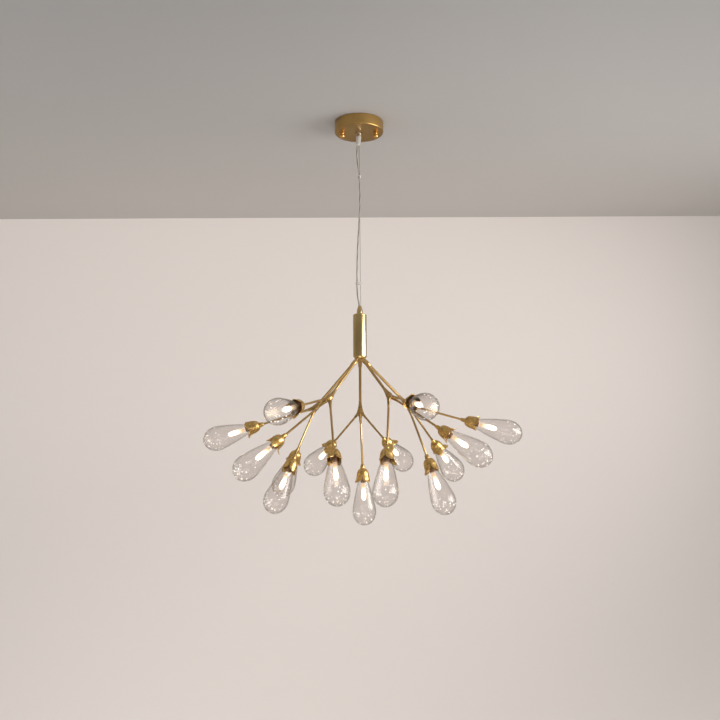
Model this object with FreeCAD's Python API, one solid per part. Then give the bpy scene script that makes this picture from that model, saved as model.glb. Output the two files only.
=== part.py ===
import FreeCAD, Part
import math
import os

# Branch chandelier: a ceiling rose, a steel wire with a clear power cord beside it, a tube stem, and five
# arms that each fork into three twigs. Every twig carries a petalled cup, a lamp holder, a lit capsule and
# a blown glass drop. Millimetres and degrees. Origin: the ceiling plane on the rose's axis. +Z is up and
# the front is -Y.

V = FreeCAD.Vector
UP = V(0, 0, 1)

# ------------------------------------------------------------------ driving dimensions
fit_gap = 0.05  # radial gap of a shaft, spigot or thread in its hole
free_gap = 0.30  # gap round a piece that only passes through a hole

canopy_diameter = 120.0
canopy_height = 27.0
canopy_wall = 1.2
canopy_edge_radius = 2.4

stud_spacing = 82.5
stud_diameter = 4.0
stud_reach = 7.0  # how far a stud stands out below the canopy
strap_width = 20.0
strap_thickness = 1.5
strap_end = 8.0  # strap left beyond each stud
slot_spacing = 56.0
slot_length = 12.0
slot_width = 4.5
earth_screw_place = 14.0
earth_screw_diameter = 3.2
earth_head_diameter = 6.5
earth_head_height = 2.2
earth_slit_width = 0.8
earth_slit_depth = 0.9

ball_nut_diameter = 12.4
ball_nut_collar_diameter = 10.0
ball_nut_collar_height = 3.0

nipple_diameter = 10.0
nipple_bore = 6.4
nipple_top_stand = 5.8  # above the canopy's floor, inside
nipple_drop = 10.0  # from the canopy's underside to the top of the cord grip
nipple_in_grip = 4.0
locknut_flats = 14.0
locknut_height = 3.0
outer_nut_flats = 15.5
outer_nut_height = 4.0

grip_length = 24.0
grip_straight = 4.0
grip_top_diameter = 12.4
grip_mouth_diameter = 10.0
grip_top_shift = 1.0  # the soft grip leans to the cord's side
grip_mouth_shift = 2.3
ball_stop_diameter = 3.2
ball_stop_depth = 2.0  # ball centre above the grip's mouth
ball_throat_diameter = 2.5
cord_mouth_depth = 4.0
cord_mouth_gap = 0.6  # room for the cord to swing in the grip's mouth

driver_length = 66.0
driver_width = 28.0
driver_height = 16.0
driver_offset = 14.0  # its near face, from the axis
driver_corner = 3.0
block_length = 30.0
block_width = 16.0
block_height = 12.0
block_offset = 20.0
block_corner = 1.5
block_ways = 3
block_screw_diameter = 4.0
lead_diameter = 2.0

wire_diameter = 1.5
wire_stem_shift = 2.2  # where the wire enters the stem, off its axis
cord_diameter = 3.5
cord_stem_shift = 1.3
tie_heights = (-142.0, -412.0)
tie_height = 6.0
tie_wall = 1.3

nose_tip_height = -468.0
nose_height = 20.0
nose_tip_diameter = 8.0
nose_base_diameter = 14.6
nose_bulge = 0.45  # how far the nose's side bows out of its straight cone
nose_flange_diameter = 17.6
nose_flange_height = 1.2
nose_bore = 6.6
nose_shank_diameter = 12.0
nose_shank_length = 18.0
cap_shoulder = 4.0  # the lid's height above the tube's rim
cap_shoulder_width = 6.5
cap_edge_width = 1.5  # where the low dome turns down into the tube's side
cap_edge_drop = 1.3
cap_spigot_length = 8.0
nose_nut_flats = 17.0
nose_nut_height = 4.0
stop_disc_diameter = 11.6
stop_disc_thickness = 2.0
stop_disc_gap = 0.15  # under the nose's shank, which turns on it
crimp_diameter = 2.9
crimp_length = 8.0
splice_width = 14.0
splice_depth = 15.0
splice_height = 24.0
splice_corner = 2.0
splice_drop = 14.0  # from the nose's shank to the top of the splice

stem_diameter = 32.0
stem_wall = 1.2
stem_length = 104.0  # cap included
hub_plug_length = 14.0
hub_plug_bore = 16.0
hub_ball_diameter = 29.0
hub_ball_wall = 4.3
hub_centre_rise = 3.0  # the arms' common point, above the stem's lower end

arm_azimuths = (0.0, 74.0, 146.0, 218.0, 287.0)  # clockwise from the rear, seen from above
arm_tilts = (45.0, 46.0, 46.0, 44.0, 43.0)  # from straight down
arm_turns = (56.0, 36.0, 32.0, 97.0, 98.0)  # each arm's turn about its own axis
arm_length = 162.0  # from the arms' common point to the fork's centre
arm_diameter = 6.5
arm_bore = 4.8
arm_rim_diameter = 7.2
arm_rim_thickness = 0.5
arm_rim_gap = 0.1
arm_collar_diameter = 9.5
arm_collar_length = 14.0
arm_collar_taper = 5.0
arm_collar_gap = 0.2

fork_neck = 32.0  # casting's start, before the fork's centre
fork_limb = 30.0  # casting's end along each twig
fork_centre_radius = 7.2
fork_web_reach = 19.0
fork_web_half_thickness = 2.2
fork_arch_radius = 13.0
fork_bore = 2.4
fork_spigot = 8.0
twig_count = 3
twig_spread = 32.0  # between a twig and its arm's axis
twig_length = 132.0  # from the fork's centre to the twig's nominal end
twig_diameter = 5.0
twig_bore = 3.4
twig_in_ferrule = 5.0

ferrule_length = 9.0
ferrule_lap = 1.0  # how much of it lies before the twig's nominal end
ferrule_top_diameter = 7.0
ferrule_base_diameter = 9.8
ferrule_groove_depth = 0.7
ferrule_groove_width = 1.0
cup_wall = 0.9
cup_floor = 15.0  # inner floor's place along the lamp's axis
cup_shoulder_diameter = 21.6
cup_dome_end = 22.0  # the dome is whole up to here, and petals beyond
cup_dome_diameter = 28.2
cup_lead_hole = 3.2
petal_count = 4
petal_tip = 47.0
petal_half_width = 10.4
petal_tip_radii = (15.9, 19.2, 23.6, 17.4)  # how far each petal's tip is bent out
cup_spin = 18.0
cup_spin_step = 33.0  # from one twig's cup to the next

holder_flange_diameter = 21.2
holder_flange_thickness = 2.0
holder_diameter = 12.4
holder_length = 26.0  # above its flange
pin_diameter = 1.0
pin_spacing = 4.0
pin_depth = 8.0
capsule_diameter = 12.0
capsule_length = 44.0
capsule_base_diameter = 10.8
capsule_base_length = 3.0
capsule_dome = 3.0
capsule_gap = 0.2

glass_wall = 1.5
glass_lip_radius = 10.9
glass_mouth_radius = 14.0
glass_mouth_place = 44.0
glass_belly_radius = 29.0
glass_belly_place = 114.0
glass_tip_place = 148.0

# ------------------------------------------------------------------ places that follow from them
canopy_radius = canopy_diameter / 2
canopy_floor = -canopy_height + canopy_wall
grip_top = -canopy_height - nipple_drop
grip_mouth = grip_top - grip_length
swing_point = grip_mouth + ball_stop_depth
nose_base = nose_tip_height - nose_height
cap_rim = nose_base - cap_shoulder
shank_end = nose_base - nose_shank_length
disc_top = shank_end - stop_disc_gap
disc_bottom = disc_top - stop_disc_thickness
splice_top = shank_end - splice_drop
stem_bottom = nose_base - stem_length
stem_inner_radius = stem_diameter / 2 - stem_wall
hub_height = stem_bottom + hub_centre_rise
hub_cavity_radius = hub_ball_diameter / 2 - hub_ball_wall
holder_face = cup_floor + holder_flange_thickness
capsule_start = holder_face + holder_length + capsule_gap

# The cord's free stretch, from inside the grip's mouth to the splice in the stem. The points are chosen
# by hand: it swells to the left, crosses in front of the wire at the upper tie, and swells left again.
cord_route = [
    V(-4.5, 0, -58.5),
    V(-5.9, -0.4, -82),
    V(-4.4, -2.2, -107),
    V(0.5, -3.5, -131),
    V(0.5, -3.5, -154),
    V(1.7, -3.2, -187),
    V(0.9, -3.5, -226),
    V(-1.2, -3.3, -267),
    V(-3.7, -2.2, -308),
    V(-5.5, -1.0, -350),
    V(-6.3, -0.2, -391),
    V(-6.3, -0.2, -430),
    V(-4.7, 0.1, -447),
    V(-1.5, 0, -464),
    V(-1.2, 0, -484),
    V(-cord_stem_shift, 0, -504),
    V(-cord_stem_shift, 0, splice_top),
]
# The stripped pair inside the rose, from the grip up through the nipple and over to the driver.
lead_route = [
    V(-4.5, 0, grip_mouth + cord_mouth_depth),
    V(-4.0, 0, -51.5),
    V(-1.5, 0, -44),
    V(-0.6, 0, -37),
    V(-0.6, 0, -17.4),
    V(-3.7, 0, -12.1),
    V(-9.0, 0, -9.0),
    V(-15.0, 0, -9.0),
    V(-20.3, 3.1, -9.6),
    V(-23.4, 8.4, -10.6),
    V(-23.4, driver_offset, -11.8),
]


# ------------------------------------------------------------------ helpers
def save(name, shape):
    """Write one node's solids to its own file."""
    if not shape.isValid():
        raise ValueError(name + " is not a valid shape")
    shape.exportStep("parts/" + name + ".step")
    print(name, len(shape.Solids), "solid(s)", round(shape.Volume / 1000, 2), "cm3")


def line(start, end):
    return Part.LineSegment(start, end).toShape()


def spline(points, first=None, last=None):
    """A smooth curve through the points, with optional directions at its ends."""
    curve = Part.BSplineCurve()
    if first is None:
        curve.interpolate(Points=points)
    else:
        curve.interpolate(Points=points, InitialTangent=first, FinalTangent=last)
    return curve


def inside(curve, points, wall):
    """The points moved in by the wall, square to a curve that runs with its solid on the left."""
    moved = []
    for point in points:
        way = curve.tangent(curve.parameter(point))[0]
        moved.append(point + V(-way.z, 0, way.x) * wall)
    return moved


def outline_face(edges):
    return Part.Face(Part.Wire(Part.__sortEdges__(edges)))


def turned(outline):
    """A solid turned about Z from a closed outline of (radius, height) points."""
    corners = [V(radius, 0, height) for radius, height in outline]
    face = Part.Face(Part.makePolygon(corners + corners[:1]))
    return face.revolve(V(), UP, 360)


def rod(diameter, low, high, x=0.0, y=0.0):
    return Part.makeCylinder(diameter / 2, high - low, V(x, y, low))


def hexagon(flats, low, high, hole):
    """A hexagon nut on the Z axis."""
    reach = flats / math.sqrt(3)
    angles = [math.radians(60 * index) for index in range(7)]
    corners = [V(reach * math.cos(angle), reach * math.sin(angle), low) for angle in angles]
    block = Part.Face(Part.makePolygon(corners)).extrude(V(0, 0, high - low))
    return block.cut(rod(hole, low - 1, high + 1))


def block_solid(length, width, height, corner, centre_x, low_y, low_z):
    """A box with rounded upright edges."""
    box = Part.makeBox(length, width, height, V(centre_x - length / 2, low_y, low_z))
    upright = [e for e in box.Edges if abs(e.tangentAt(e.FirstParameter).z) > 0.9]
    return box.makeFillet(corner, upright)


def smooth_path(points):
    """Straight runs joined by tangent arcs, each as large as its two runs allow."""
    edges = []
    radii = []
    start = points[0]
    for before, corner, after in zip(points, points[1:], points[2:]):
        back = before - corner
        ahead = after - corner
        setback = 0.45 * min(back.Length, ahead.Length)
        turn = math.pi - back.getAngle(ahead)
        radii.append(setback / math.tan(turn / 2))
        back.normalize()
        ahead.normalize()
        enter = corner + back * setback
        leave = corner + ahead * setback
        middle_way = back + ahead
        middle_way.normalize()
        to_arc = radii[-1] / math.cos(turn / 2) - radii[-1]
        edges.append(line(start, enter))
        edges.append(Part.Arc(enter, corner + middle_way * to_arc, leave).toShape())
        start = leave
    edges.append(line(start, points[-1]))
    return Part.Wire(edges), radii


def tube_on(points, diameter, name):
    """A round solid along a smooth path, with its radii and its volume printed."""
    path, radii = smooth_path(points)
    way = points[1] - points[0]
    face = Part.Face(Part.Wire(Part.makeCircle(diameter / 2, points[0], way)))
    solid = path.makePipe(face)
    if solid.Volume < 0:
        solid.reverse()
    expected = math.pi * diameter ** 2 / 4 * path.Length
    print(name, "length", round(path.Length, 1), "radii", [round(r) for r in radii])
    print(name, "volume against section times length", round(solid.Volume / expected, 4))
    return solid


def placed(shape, origin, x_way, z_way):
    """A copy with its own Z along z_way and its X along x_way."""
    y_way = z_way.cross(x_way)
    matrix = FreeCAD.Matrix(
        x_way.x, y_way.x, z_way.x, origin.x,
        x_way.y, y_way.y, z_way.y, origin.y,
        x_way.z, y_way.z, z_way.z, origin.z,
        0, 0, 0, 1,
    )
    copy = shape.copy()
    copy.Placement = FreeCAD.Placement(matrix).multiply(copy.Placement)
    return copy


def group(shapes):
    return shapes[0] if len(shapes) == 1 else Part.makeCompound(shapes)


# ------------------------------------------------------------------ ceiling rose
def stud_places():
    return (-stud_spacing / 2, stud_spacing / 2)


def ceiling_bracket():
    """The steel strap that two screws hold to the ceiling, through its slots."""
    length = stud_spacing + 2 * strap_end
    corner = V(-length / 2, -strap_width / 2, -strap_thickness)
    strap = Part.makeBox(length, strap_width, strap_thickness, corner)
    for side in (-1, 1):
        run = slot_length - slot_width
        middle = side * slot_spacing / 2
        corner = V(middle - run / 2, -slot_width / 2, -2 * strap_thickness)
        slot = Part.makeBox(run, slot_width, 3 * strap_thickness, corner)
        for end in (-1, 1):
            slot = slot.fuse(rod(slot_width, -2 * strap_thickness, strap_thickness, middle + end * run / 2))
        strap = strap.cut(slot)
    for x in stud_places():
        strap = strap.cut(rod(stud_diameter + 2 * fit_gap, -2 * strap_thickness, strap_thickness, x))
    hole = earth_screw_diameter + 2 * fit_gap
    return strap.cut(rod(hole, -2 * strap_thickness, strap_thickness, earth_screw_place))


def bracket_studs():
    return group([rod(stud_diameter, -canopy_height - stud_reach, 0, x) for x in stud_places()])


def earth_screw():
    head_low = -strap_thickness - earth_head_height
    head = rod(earth_head_diameter, head_low, -strap_thickness, earth_screw_place)
    shank = rod(earth_screw_diameter, -strap_thickness, 0, earth_screw_place)
    corner = V(earth_screw_place - earth_head_diameter / 2, -earth_slit_width / 2, head_low)
    slit = Part.makeBox(earth_head_diameter, earth_slit_width, earth_slit_depth, corner)
    return head.fuse(shank).cut(slit).removeSplitter()


def canopy():
    """A spun drum, open towards the ceiling, with a rounded lower edge."""
    drum = Part.makeCylinder(canopy_radius, canopy_height, V(0, 0, -canopy_height))
    rim = [edge for edge in drum.Edges if abs(edge.CenterOfMass.z + canopy_height) < 0.01]
    drum = drum.makeFillet(canopy_edge_radius, rim)
    inner = Part.makeCylinder(canopy_radius - canopy_wall, canopy_height, V(0, 0, canopy_floor))
    inner_edge = max(canopy_edge_radius - canopy_wall, 0.2)
    rim = [edge for edge in inner.Edges if abs(edge.CenterOfMass.z - canopy_floor) < 0.01]
    inner = inner.makeFillet(inner_edge, rim)
    drum = drum.cut(inner)
    for x in stud_places():
        drum = drum.cut(rod(stud_diameter + 2 * free_gap, -canopy_height - 1, canopy_floor + 1, x))
    return drum.cut(rod(nipple_diameter + 2 * fit_gap, -canopy_height - 1, canopy_floor + 1))


def ball_nut(x):
    """A knob nut: a collar against the canopy and a ball below it, with a blind thread."""
    collar_end = -canopy_height - ball_nut_collar_height
    radius = ball_nut_diameter / 2
    collar_radius = ball_nut_collar_diameter / 2
    sunk = math.sqrt(max(radius ** 2 - (0.8 * collar_radius) ** 2, 0))
    ball = Part.makeSphere(radius, V(x, 0, collar_end - sunk))
    above = Part.makeBox(4 * radius, 4 * radius, 4 * radius, V(x - 2 * radius, -2 * radius, collar_end))
    nut = ball.cut(above).fuse(rod(ball_nut_collar_diameter, collar_end, -canopy_height, x))
    thread_end = -canopy_height - stud_reach - fit_gap
    return nut.cut(rod(stud_diameter + 2 * fit_gap, thread_end, -canopy_height + 1, x))


def cord_nipple():
    low = grip_top - nipple_in_grip
    high = canopy_floor + nipple_top_stand
    return rod(nipple_diameter, low, high).cut(rod(nipple_bore, low - 1, high + 1))


def cord_grip(lead):
    """The clear grip: a soft cone with a socket for the wire's ball end and a mouth for the cord."""
    knee = grip_top - grip_straight
    straight = rod(grip_top_diameter, knee, grip_top, -grip_top_shift)
    wide = Part.Wire(Part.makeCircle(grip_top_diameter / 2, V(-grip_top_shift, 0, knee)))
    mouth = Part.Wire(Part.makeCircle(grip_mouth_diameter / 2, V(-grip_mouth_shift, 0, grip_mouth)))
    grip = straight.fuse(Part.makeLoft([wide, mouth], True, True))
    hole = nipple_diameter + 2 * fit_gap
    grip = grip.cut(rod(hole, grip_top - nipple_in_grip - fit_gap, grip_top + 1))
    grip = grip.cut(Part.makeSphere(ball_stop_diameter / 2 + fit_gap, V(0, 0, swing_point)))
    grip = grip.cut(rod(ball_throat_diameter, grip_mouth - 1, swing_point))
    cord_x = cord_route[0].x
    mouth_hole = cord_diameter + 2 * cord_mouth_gap
    grip = grip.cut(rod(mouth_hole, grip_mouth - 1, grip_mouth + cord_mouth_depth, cord_x))
    return grip.cut(lead)


def led_driver():
    size = (driver_length, driver_width, driver_height)
    return block_solid(*size, driver_corner, 0, driver_offset, canopy_floor)


def terminal_block():
    """The screw block that takes the supply, one screw pit for each way."""
    size = (block_length, block_width, block_height)
    block = block_solid(*size, block_corner, 0, -block_offset - block_width, canopy_floor)
    pitch = block_length / block_ways
    pit_low = canopy_floor + block_height / 2
    for way in range(block_ways):
        x = -block_length / 2 + pitch * (way + 0.5)
        for y in (-block_offset - block_width * 0.28, -block_offset - block_width * 0.72):
            block = block.cut(rod(block_screw_diameter, pit_low, canopy_floor + block_height + 1, x, y))
    return block


# ------------------------------------------------------------------ suspension
def wire_x(height):
    """The wire's place beside the axis at a height: it runs straight from its ball to the stem."""
    share = (height - swing_point) / (nose_tip_height - swing_point)
    return wire_stem_shift * share


def suspension_wire():
    """The steel wire, from just under its ball end to the end of its crimp sleeve."""
    low = disc_bottom - crimp_length
    way = V(wire_x(low), 0, low - swing_point)
    way.normalize()
    start = V(0, 0, swing_point) + way * (ball_stop_diameter / 2 + arm_rim_gap)
    length = (low - start.z) / way.z
    return Part.makeCylinder(wire_diameter / 2, length, start, way)


def cord_at(height):
    """The cord's centre at a height on one of its upright runs."""
    for start, end in zip(cord_route, cord_route[1:]):
        if end.z <= height <= start.z:
            share = (start.z - height) / (start.z - end.z)
            return start + (end - start) * share
    raise ValueError("the cord does not reach that height")


def cord_tie(height):
    """A clear clip with one eye for the cord and one for the wire, joined by a bar."""
    low = height - tie_height / 2
    cord_place = cord_at(height)
    wire_place = V(wire_x(height), 0, height)
    cord_eye = cord_diameter + 2 * free_gap
    wire_eye = wire_diameter + 2 * free_gap
    bar_way = wire_place - cord_place
    span = bar_way.Length
    bar_way.normalize()
    side = UP.cross(bar_way)
    width = wire_eye + 2 * tie_wall
    corner = V(cord_place.x, cord_place.y, low) - side * (width / 2)
    bar = Part.makeBox(span, width, tie_height)
    bar = placed(bar, corner, bar_way, UP)
    clip = bar.fuse(rod(cord_eye + 2 * tie_wall, low, low + tie_height, cord_place.x, cord_place.y))
    clip = clip.fuse(rod(width, low, low + tie_height, wire_place.x))
    clip = clip.cut(rod(cord_eye, low - 1, low + tie_height + 1, cord_place.x, cord_place.y))
    return clip.cut(rod(wire_eye, low - 1, low + tie_height + 1, wire_place.x))


def stop_disc():
    """The two-hole washer that the stem hangs on."""
    disc = rod(stop_disc_diameter, disc_bottom, disc_top)
    disc = disc.cut(rod(cord_diameter + 2 * free_gap, disc_bottom - 1, disc_top + 1, -cord_stem_shift))
    wire_hole = wire_diameter + 2 * fit_gap
    return disc.cut(rod(wire_hole, disc_bottom - 1, disc_top + 1, wire_x(disc_bottom)))


def wire_crimp():
    low = disc_bottom - crimp_length
    sleeve = rod(crimp_diameter, low, disc_bottom, wire_x(disc_bottom))
    wire_hole = wire_diameter + 2 * fit_gap
    return sleeve.cut(rod(wire_hole, low - 1, disc_bottom + 1, wire_x(disc_bottom)))


def splice_block():
    low = splice_top - splice_height
    size = (splice_width, splice_depth, splice_height)
    return block_solid(*size, splice_corner, -cord_stem_shift, -splice_depth / 2, low)


# ------------------------------------------------------------------ stem
def cap_nose():
    """The turned bullet on top of the stem, with its threaded shank and the bore for both strands."""
    tip = V(nose_tip_diameter / 2, 0, nose_tip_height)
    base = V(nose_base_diameter / 2, 0, nose_base + nose_flange_height)
    middle = (tip + base) * 0.5 + V(nose_bulge * 2, 0, nose_bulge)
    flange = nose_flange_diameter / 2
    shank = nose_shank_diameter / 2
    bore = nose_bore / 2
    flange_top = nose_base + nose_flange_height
    edges = [
        line(V(bore, 0, nose_tip_height), tip),
        Part.Arc(tip, middle, base).toShape(),
        line(base, V(flange, 0, flange_top)),
        line(V(flange, 0, flange_top), V(flange, 0, nose_base)),
        line(V(flange, 0, nose_base), V(shank, 0, nose_base)),
        line(V(shank, 0, nose_base), V(shank, 0, shank_end)),
        line(V(shank, 0, shank_end), V(bore, 0, shank_end)),
        line(V(bore, 0, shank_end), V(bore, 0, nose_tip_height)),
    ]
    return outline_face(edges).revolve(V(), UP, 360)


def stem_cap():
    """The round-shouldered lid of the stem, with a spigot inside the tube."""
    outer = stem_diameter / 2
    hole = nose_shank_diameter / 2 + fit_gap
    spigot = stem_inner_radius - fit_gap
    spigot_end = cap_rim - cap_spigot_length
    shoulder_start = V(outer - cap_shoulder_width, 0, nose_base)
    shoulder_end = V(outer, 0, cap_rim)
    middle = V(outer - cap_edge_width, 0, nose_base - cap_edge_drop)
    edges = [
        line(V(hole, 0, nose_base), shoulder_start),
        Part.Arc(shoulder_start, middle, shoulder_end).toShape(),
        line(shoulder_end, V(spigot, 0, cap_rim)),
        line(V(spigot, 0, cap_rim), V(spigot, 0, spigot_end)),
        line(V(spigot, 0, spigot_end), V(hole, 0, spigot_end)),
        line(V(hole, 0, spigot_end), V(hole, 0, nose_base)),
    ]
    return outline_face(edges).revolve(V(), UP, 360)


def nose_nut():
    high = cap_rim - cap_spigot_length
    return hexagon(nose_nut_flats, high - nose_nut_height, high, nose_shank_diameter + 2 * fit_gap)


def stem_tube():
    tube = rod(stem_diameter, stem_bottom, cap_rim)
    return tube.cut(rod(2 * stem_inner_radius, stem_bottom - 1, cap_rim + 1))


def arm_frame(number):
    """An arm's own directions: up-and-out across it, and along it from the hub to its fork."""
    azimuth = math.radians(arm_azimuths[number])
    tilt = math.radians(arm_tilts[number])
    outward = V(math.sin(azimuth), math.cos(azimuth), 0)
    along = outward * math.sin(tilt) - UP * math.cos(tilt)
    across = outward * math.cos(tilt) + UP * math.sin(tilt)
    return across, along


def arm_hub():
    """The plug in the stem's end with the hollow ball below it, bored for every arm."""
    centre = V(0, 0, hub_height)
    ball_radius = hub_ball_diameter / 2
    plug_radius = stem_inner_radius - fit_gap
    ball = Part.makeSphere(ball_radius, centre)
    wide = 4 * ball_radius
    above = Part.makeBox(wide, wide, wide, V(-wide / 2, -wide / 2, stem_bottom))
    plug = rod(2 * plug_radius, stem_bottom, stem_bottom + hub_plug_length)
    hub = ball.cut(above).fuse(plug)
    hub = hub.cut(Part.makeSphere(hub_cavity_radius, centre))
    hub = hub.cut(rod(hub_plug_bore, hub_height, stem_bottom + hub_plug_length + 1))
    for number in range(len(arm_azimuths)):
        across, along = arm_frame(number)
        bore = rod(arm_diameter + 2 * fit_gap, 0, 2 * ball_radius)
        recess = rod(arm_rim_diameter + 2 * free_gap, 0, hub_cavity_radius)
        hub = hub.cut(placed(bore.fuse(recess), centre, across, along))
    return hub


# ------------------------------------------------------------------ arms, drawn along their own Z
def arm_tube():
    """A drawn tube with a rim inside the hub and a tapered collar outside it."""
    bore = arm_bore / 2
    radius = arm_diameter / 2
    rim = arm_rim_diameter / 2
    collar = arm_collar_diameter / 2
    rim_end = hub_cavity_radius - arm_rim_gap
    collar_start = hub_ball_diameter / 2 + arm_collar_gap
    collar_end = collar_start + arm_collar_length
    end = arm_length - fork_neck
    return turned([
        (bore, rim_end - arm_rim_thickness),
        (rim, rim_end - arm_rim_thickness),
        (rim, rim_end),
        (radius, rim_end),
        (radius, collar_start),
        (collar, collar_start),
        (collar, collar_end),
        (radius, collar_end + arm_collar_taper),
        (radius, end),
        (bore, end),
    ])


def twig_way(index, turn=0.0):
    """A twig's direction in the arm's own frame."""
    spread = math.radians(twig_spread)
    angle = math.radians(turn + 360 / twig_count * index)
    return V(math.sin(spread) * math.cos(angle), math.sin(spread) * math.sin(angle), math.cos(spread))


def across_from(way):
    """A direction square to way, in the plane of way and the arm's axis."""
    back = UP - way * way.z
    back.normalize()
    return back


def flared(start_radius, end_radius, length, bow):
    """A turned horn along Z from start_radius to end_radius, its side bowed in by a share."""
    first = V(start_radius, 0, 0)
    last = V(end_radius, 0, length)
    middle = V(end_radius + (start_radius - end_radius) * (0.5 - bow), 0, length / 2)
    edges = [
        line(V(0, 0, 0), first),
        Part.Arc(first, middle, last).toShape(),
        line(last, V(0, 0, length)),
        line(V(0, 0, length), V(0, 0, 0)),
    ]
    return outline_face(edges).revolve(V(), UP, 360)


def fork():
    """The cast fork about its own centre: a flared neck, a flared limb for each twig, webs and an arch."""
    neck = flared(fork_centre_radius, arm_diameter / 2, fork_neck, 0.2)
    body = neck.mirror(V(), UP).fuse(Part.makeSphere(fork_centre_radius + 0.3, V()))
    ends = []
    for index in range(twig_count):
        way = twig_way(index)
        limb = flared(fork_centre_radius - 0.5, twig_diameter / 2, fork_limb, 0.16)
        body = body.fuse(placed(limb, V(), across_from(way), way))
        ends.append(way)
    corner = -UP * (fork_web_reach * 0.5)
    corners = [way * fork_web_reach + (way - UP * way.z) * fork_web_half_thickness for way in ends]
    faces = []
    for one, two in zip(corners, corners[1:] + corners[:1]):
        faces.append(Part.Face(Part.makePolygon([corner, one, two, corner])))
    faces.append(Part.Face(Part.makePolygon(corners + corners[:1])))
    web = Part.Solid(Part.Shell(faces))
    if web.Volume < 0:
        web.reverse()
    arch_centre = UP * (fork_web_reach * math.cos(math.radians(twig_spread)) + fork_arch_radius * 0.45)
    web = web.cut(Part.makeSphere(fork_arch_radius, arch_centre))
    body = body.fuse(web)
    for way in ends:
        spigot = rod(twig_bore - 2 * fit_gap, 0, fork_limb + fork_spigot)
        body = body.fuse(placed(spigot, V(), across_from(way), way))
    body = body.fuse(rod(arm_bore - 2 * fit_gap, -fork_neck - fork_spigot, 0))
    body = body.cut(rod(fork_bore, -fork_neck - fork_spigot - 1, 0))
    for way in ends:
        bore = rod(twig_bore - 2 * fit_gap - 1.2, 0, fork_limb + fork_spigot + 1)
        body = body.cut(placed(bore, V(), across_from(way), way))
    return body


def twig():
    """One twig tube, along its own Z from the fork's centre."""
    end = twig_length - ferrule_lap + twig_in_ferrule
    return rod(twig_diameter, fork_limb, end).cut(rod(twig_bore, fork_limb - 1, end + 1))


# ------------------------------------------------------------------ lamps, drawn along their own Z
# Zero is the twig's nominal end.
def cup_sector(tip_radius):
    """A quarter of the cup: ferrule, dome wall and one petal's wall, bent out to tip_radius."""
    low = -ferrule_lap
    groove = ferrule_length - ferrule_lap
    ferrule = ferrule_base_diameter / 2
    neck = ferrule - ferrule_groove_depth
    dome_start = V(ferrule, 0, groove + ferrule_groove_width)
    dome_end = V(cup_dome_diameter / 2, 0, cup_dome_end)
    rise = dome_end.z - dome_start.z
    reach = dome_end.x - dome_start.x
    dome_points = [
        dome_start,
        V(dome_start.x + reach * 0.50, 0, dome_start.z + rise * 0.20),
        V(dome_start.x + reach * 0.82, 0, dome_start.z + rise * 0.56),
        dome_end,
    ]
    dome = spline(dome_points)
    way = dome.tangent(dome.parameter(dome_end))[0]
    bend = tip_radius - dome_end.x
    petal_rise = petal_tip - cup_dome_end
    petal_points = [
        dome_end,
        V(dome_end.x + 0.9 + bend * 0.08, 0, cup_dome_end + petal_rise * 0.36),
        V(dome_end.x + 1.1 + bend * 0.32, 0, cup_dome_end + petal_rise * 0.70),
        V(tip_radius + cup_wall / 2, 0, petal_tip - bend * 0.12),
    ]
    petal = spline(petal_points)
    petal_inner_points = inside(petal, petal_points, cup_wall)
    inner_start = dome_end - V(way.z, 0, -way.x) * cup_wall
    petal_inner_points[0] = inner_start
    petal_inner = spline(petal_inner_points)
    shoulder = V(cup_shoulder_diameter / 2, 0, cup_floor)
    inner_dome = spline([shoulder, (shoulder + inner_start) * 0.5 + V(0.35, 0, -0.35), inner_start])
    bore = twig_diameter / 2 + fit_gap
    lead = cup_lead_hole / 2
    bore_end = twig_in_ferrule - ferrule_lap + fit_gap
    chain = [
        V(bore, 0, low),
        V(ferrule_top_diameter / 2, 0, low),
        V(ferrule, 0, groove - 2.0),
        V(ferrule, 0, groove),
        V(neck, 0, groove),
        V(neck, 0, groove + ferrule_groove_width),
        dome_start,
    ]
    closing = [shoulder, V(lead, 0, cup_floor), V(lead, 0, bore_end), V(bore, 0, bore_end), V(bore, 0, low)]
    edges = [line(a, b) for a, b in zip(chain, chain[1:])]
    edges += [dome.toShape(), petal.toShape(), line(petal_points[-1], petal_inner_points[-1])]
    edges += [petal_inner.toShape(), inner_dome.toShape()]
    edges += [line(a, b) for a, b in zip(closing, closing[1:])]
    sector = outline_face(edges).revolve(V(), UP, 360 / petal_count)
    return sector.rotated(V(), UP, -180 / petal_count)


def petal_outline():
    """A cutter, square to X, that keeps all below the dome's end and a pointed leaf above it."""
    low = -ferrule_length
    wide = 3 * petal_half_width
    rise = petal_tip + 1 - cup_dome_end
    base = V(0, petal_half_width, cup_dome_end - 1)
    tip = V(0, 0, cup_dome_end + rise)
    side_points = [
        base,
        V(0, petal_half_width * 0.98, cup_dome_end + rise * 0.32),
        V(0, petal_half_width * 0.70, cup_dome_end + rise * 0.68),
        tip,
    ]
    right = spline(side_points).toShape()
    left = spline([V(0, -p.y, p.z) for p in side_points]).toShape()
    edges = [
        line(V(0, -wide, low), V(0, wide, low)),
        line(V(0, wide, low), V(0, wide, base.z)),
        line(V(0, wide, base.z), base),
        right,
        left,
        line(V(0, -base.y, base.z), V(0, -wide, base.z)),
        line(V(0, -wide, base.z), V(0, -wide, low)),
    ]
    return outline_face(edges).extrude(V(3 * max(petal_tip_radii), 0, 0))


def calyx_cup():
    """The cup: one piece of brass with a dome and four pointed petals, each bent out by its own amount."""
    cutter = petal_outline()
    cup = None
    for index, tip_radius in enumerate(petal_tip_radii):
        sector = cup_sector(tip_radius).common(cutter)
        sector = sector.rotated(V(), UP, 360 / petal_count * index)
        cup = sector if cup is None else cup.fuse(sector)
    return cup.removeSplitter()


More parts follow.
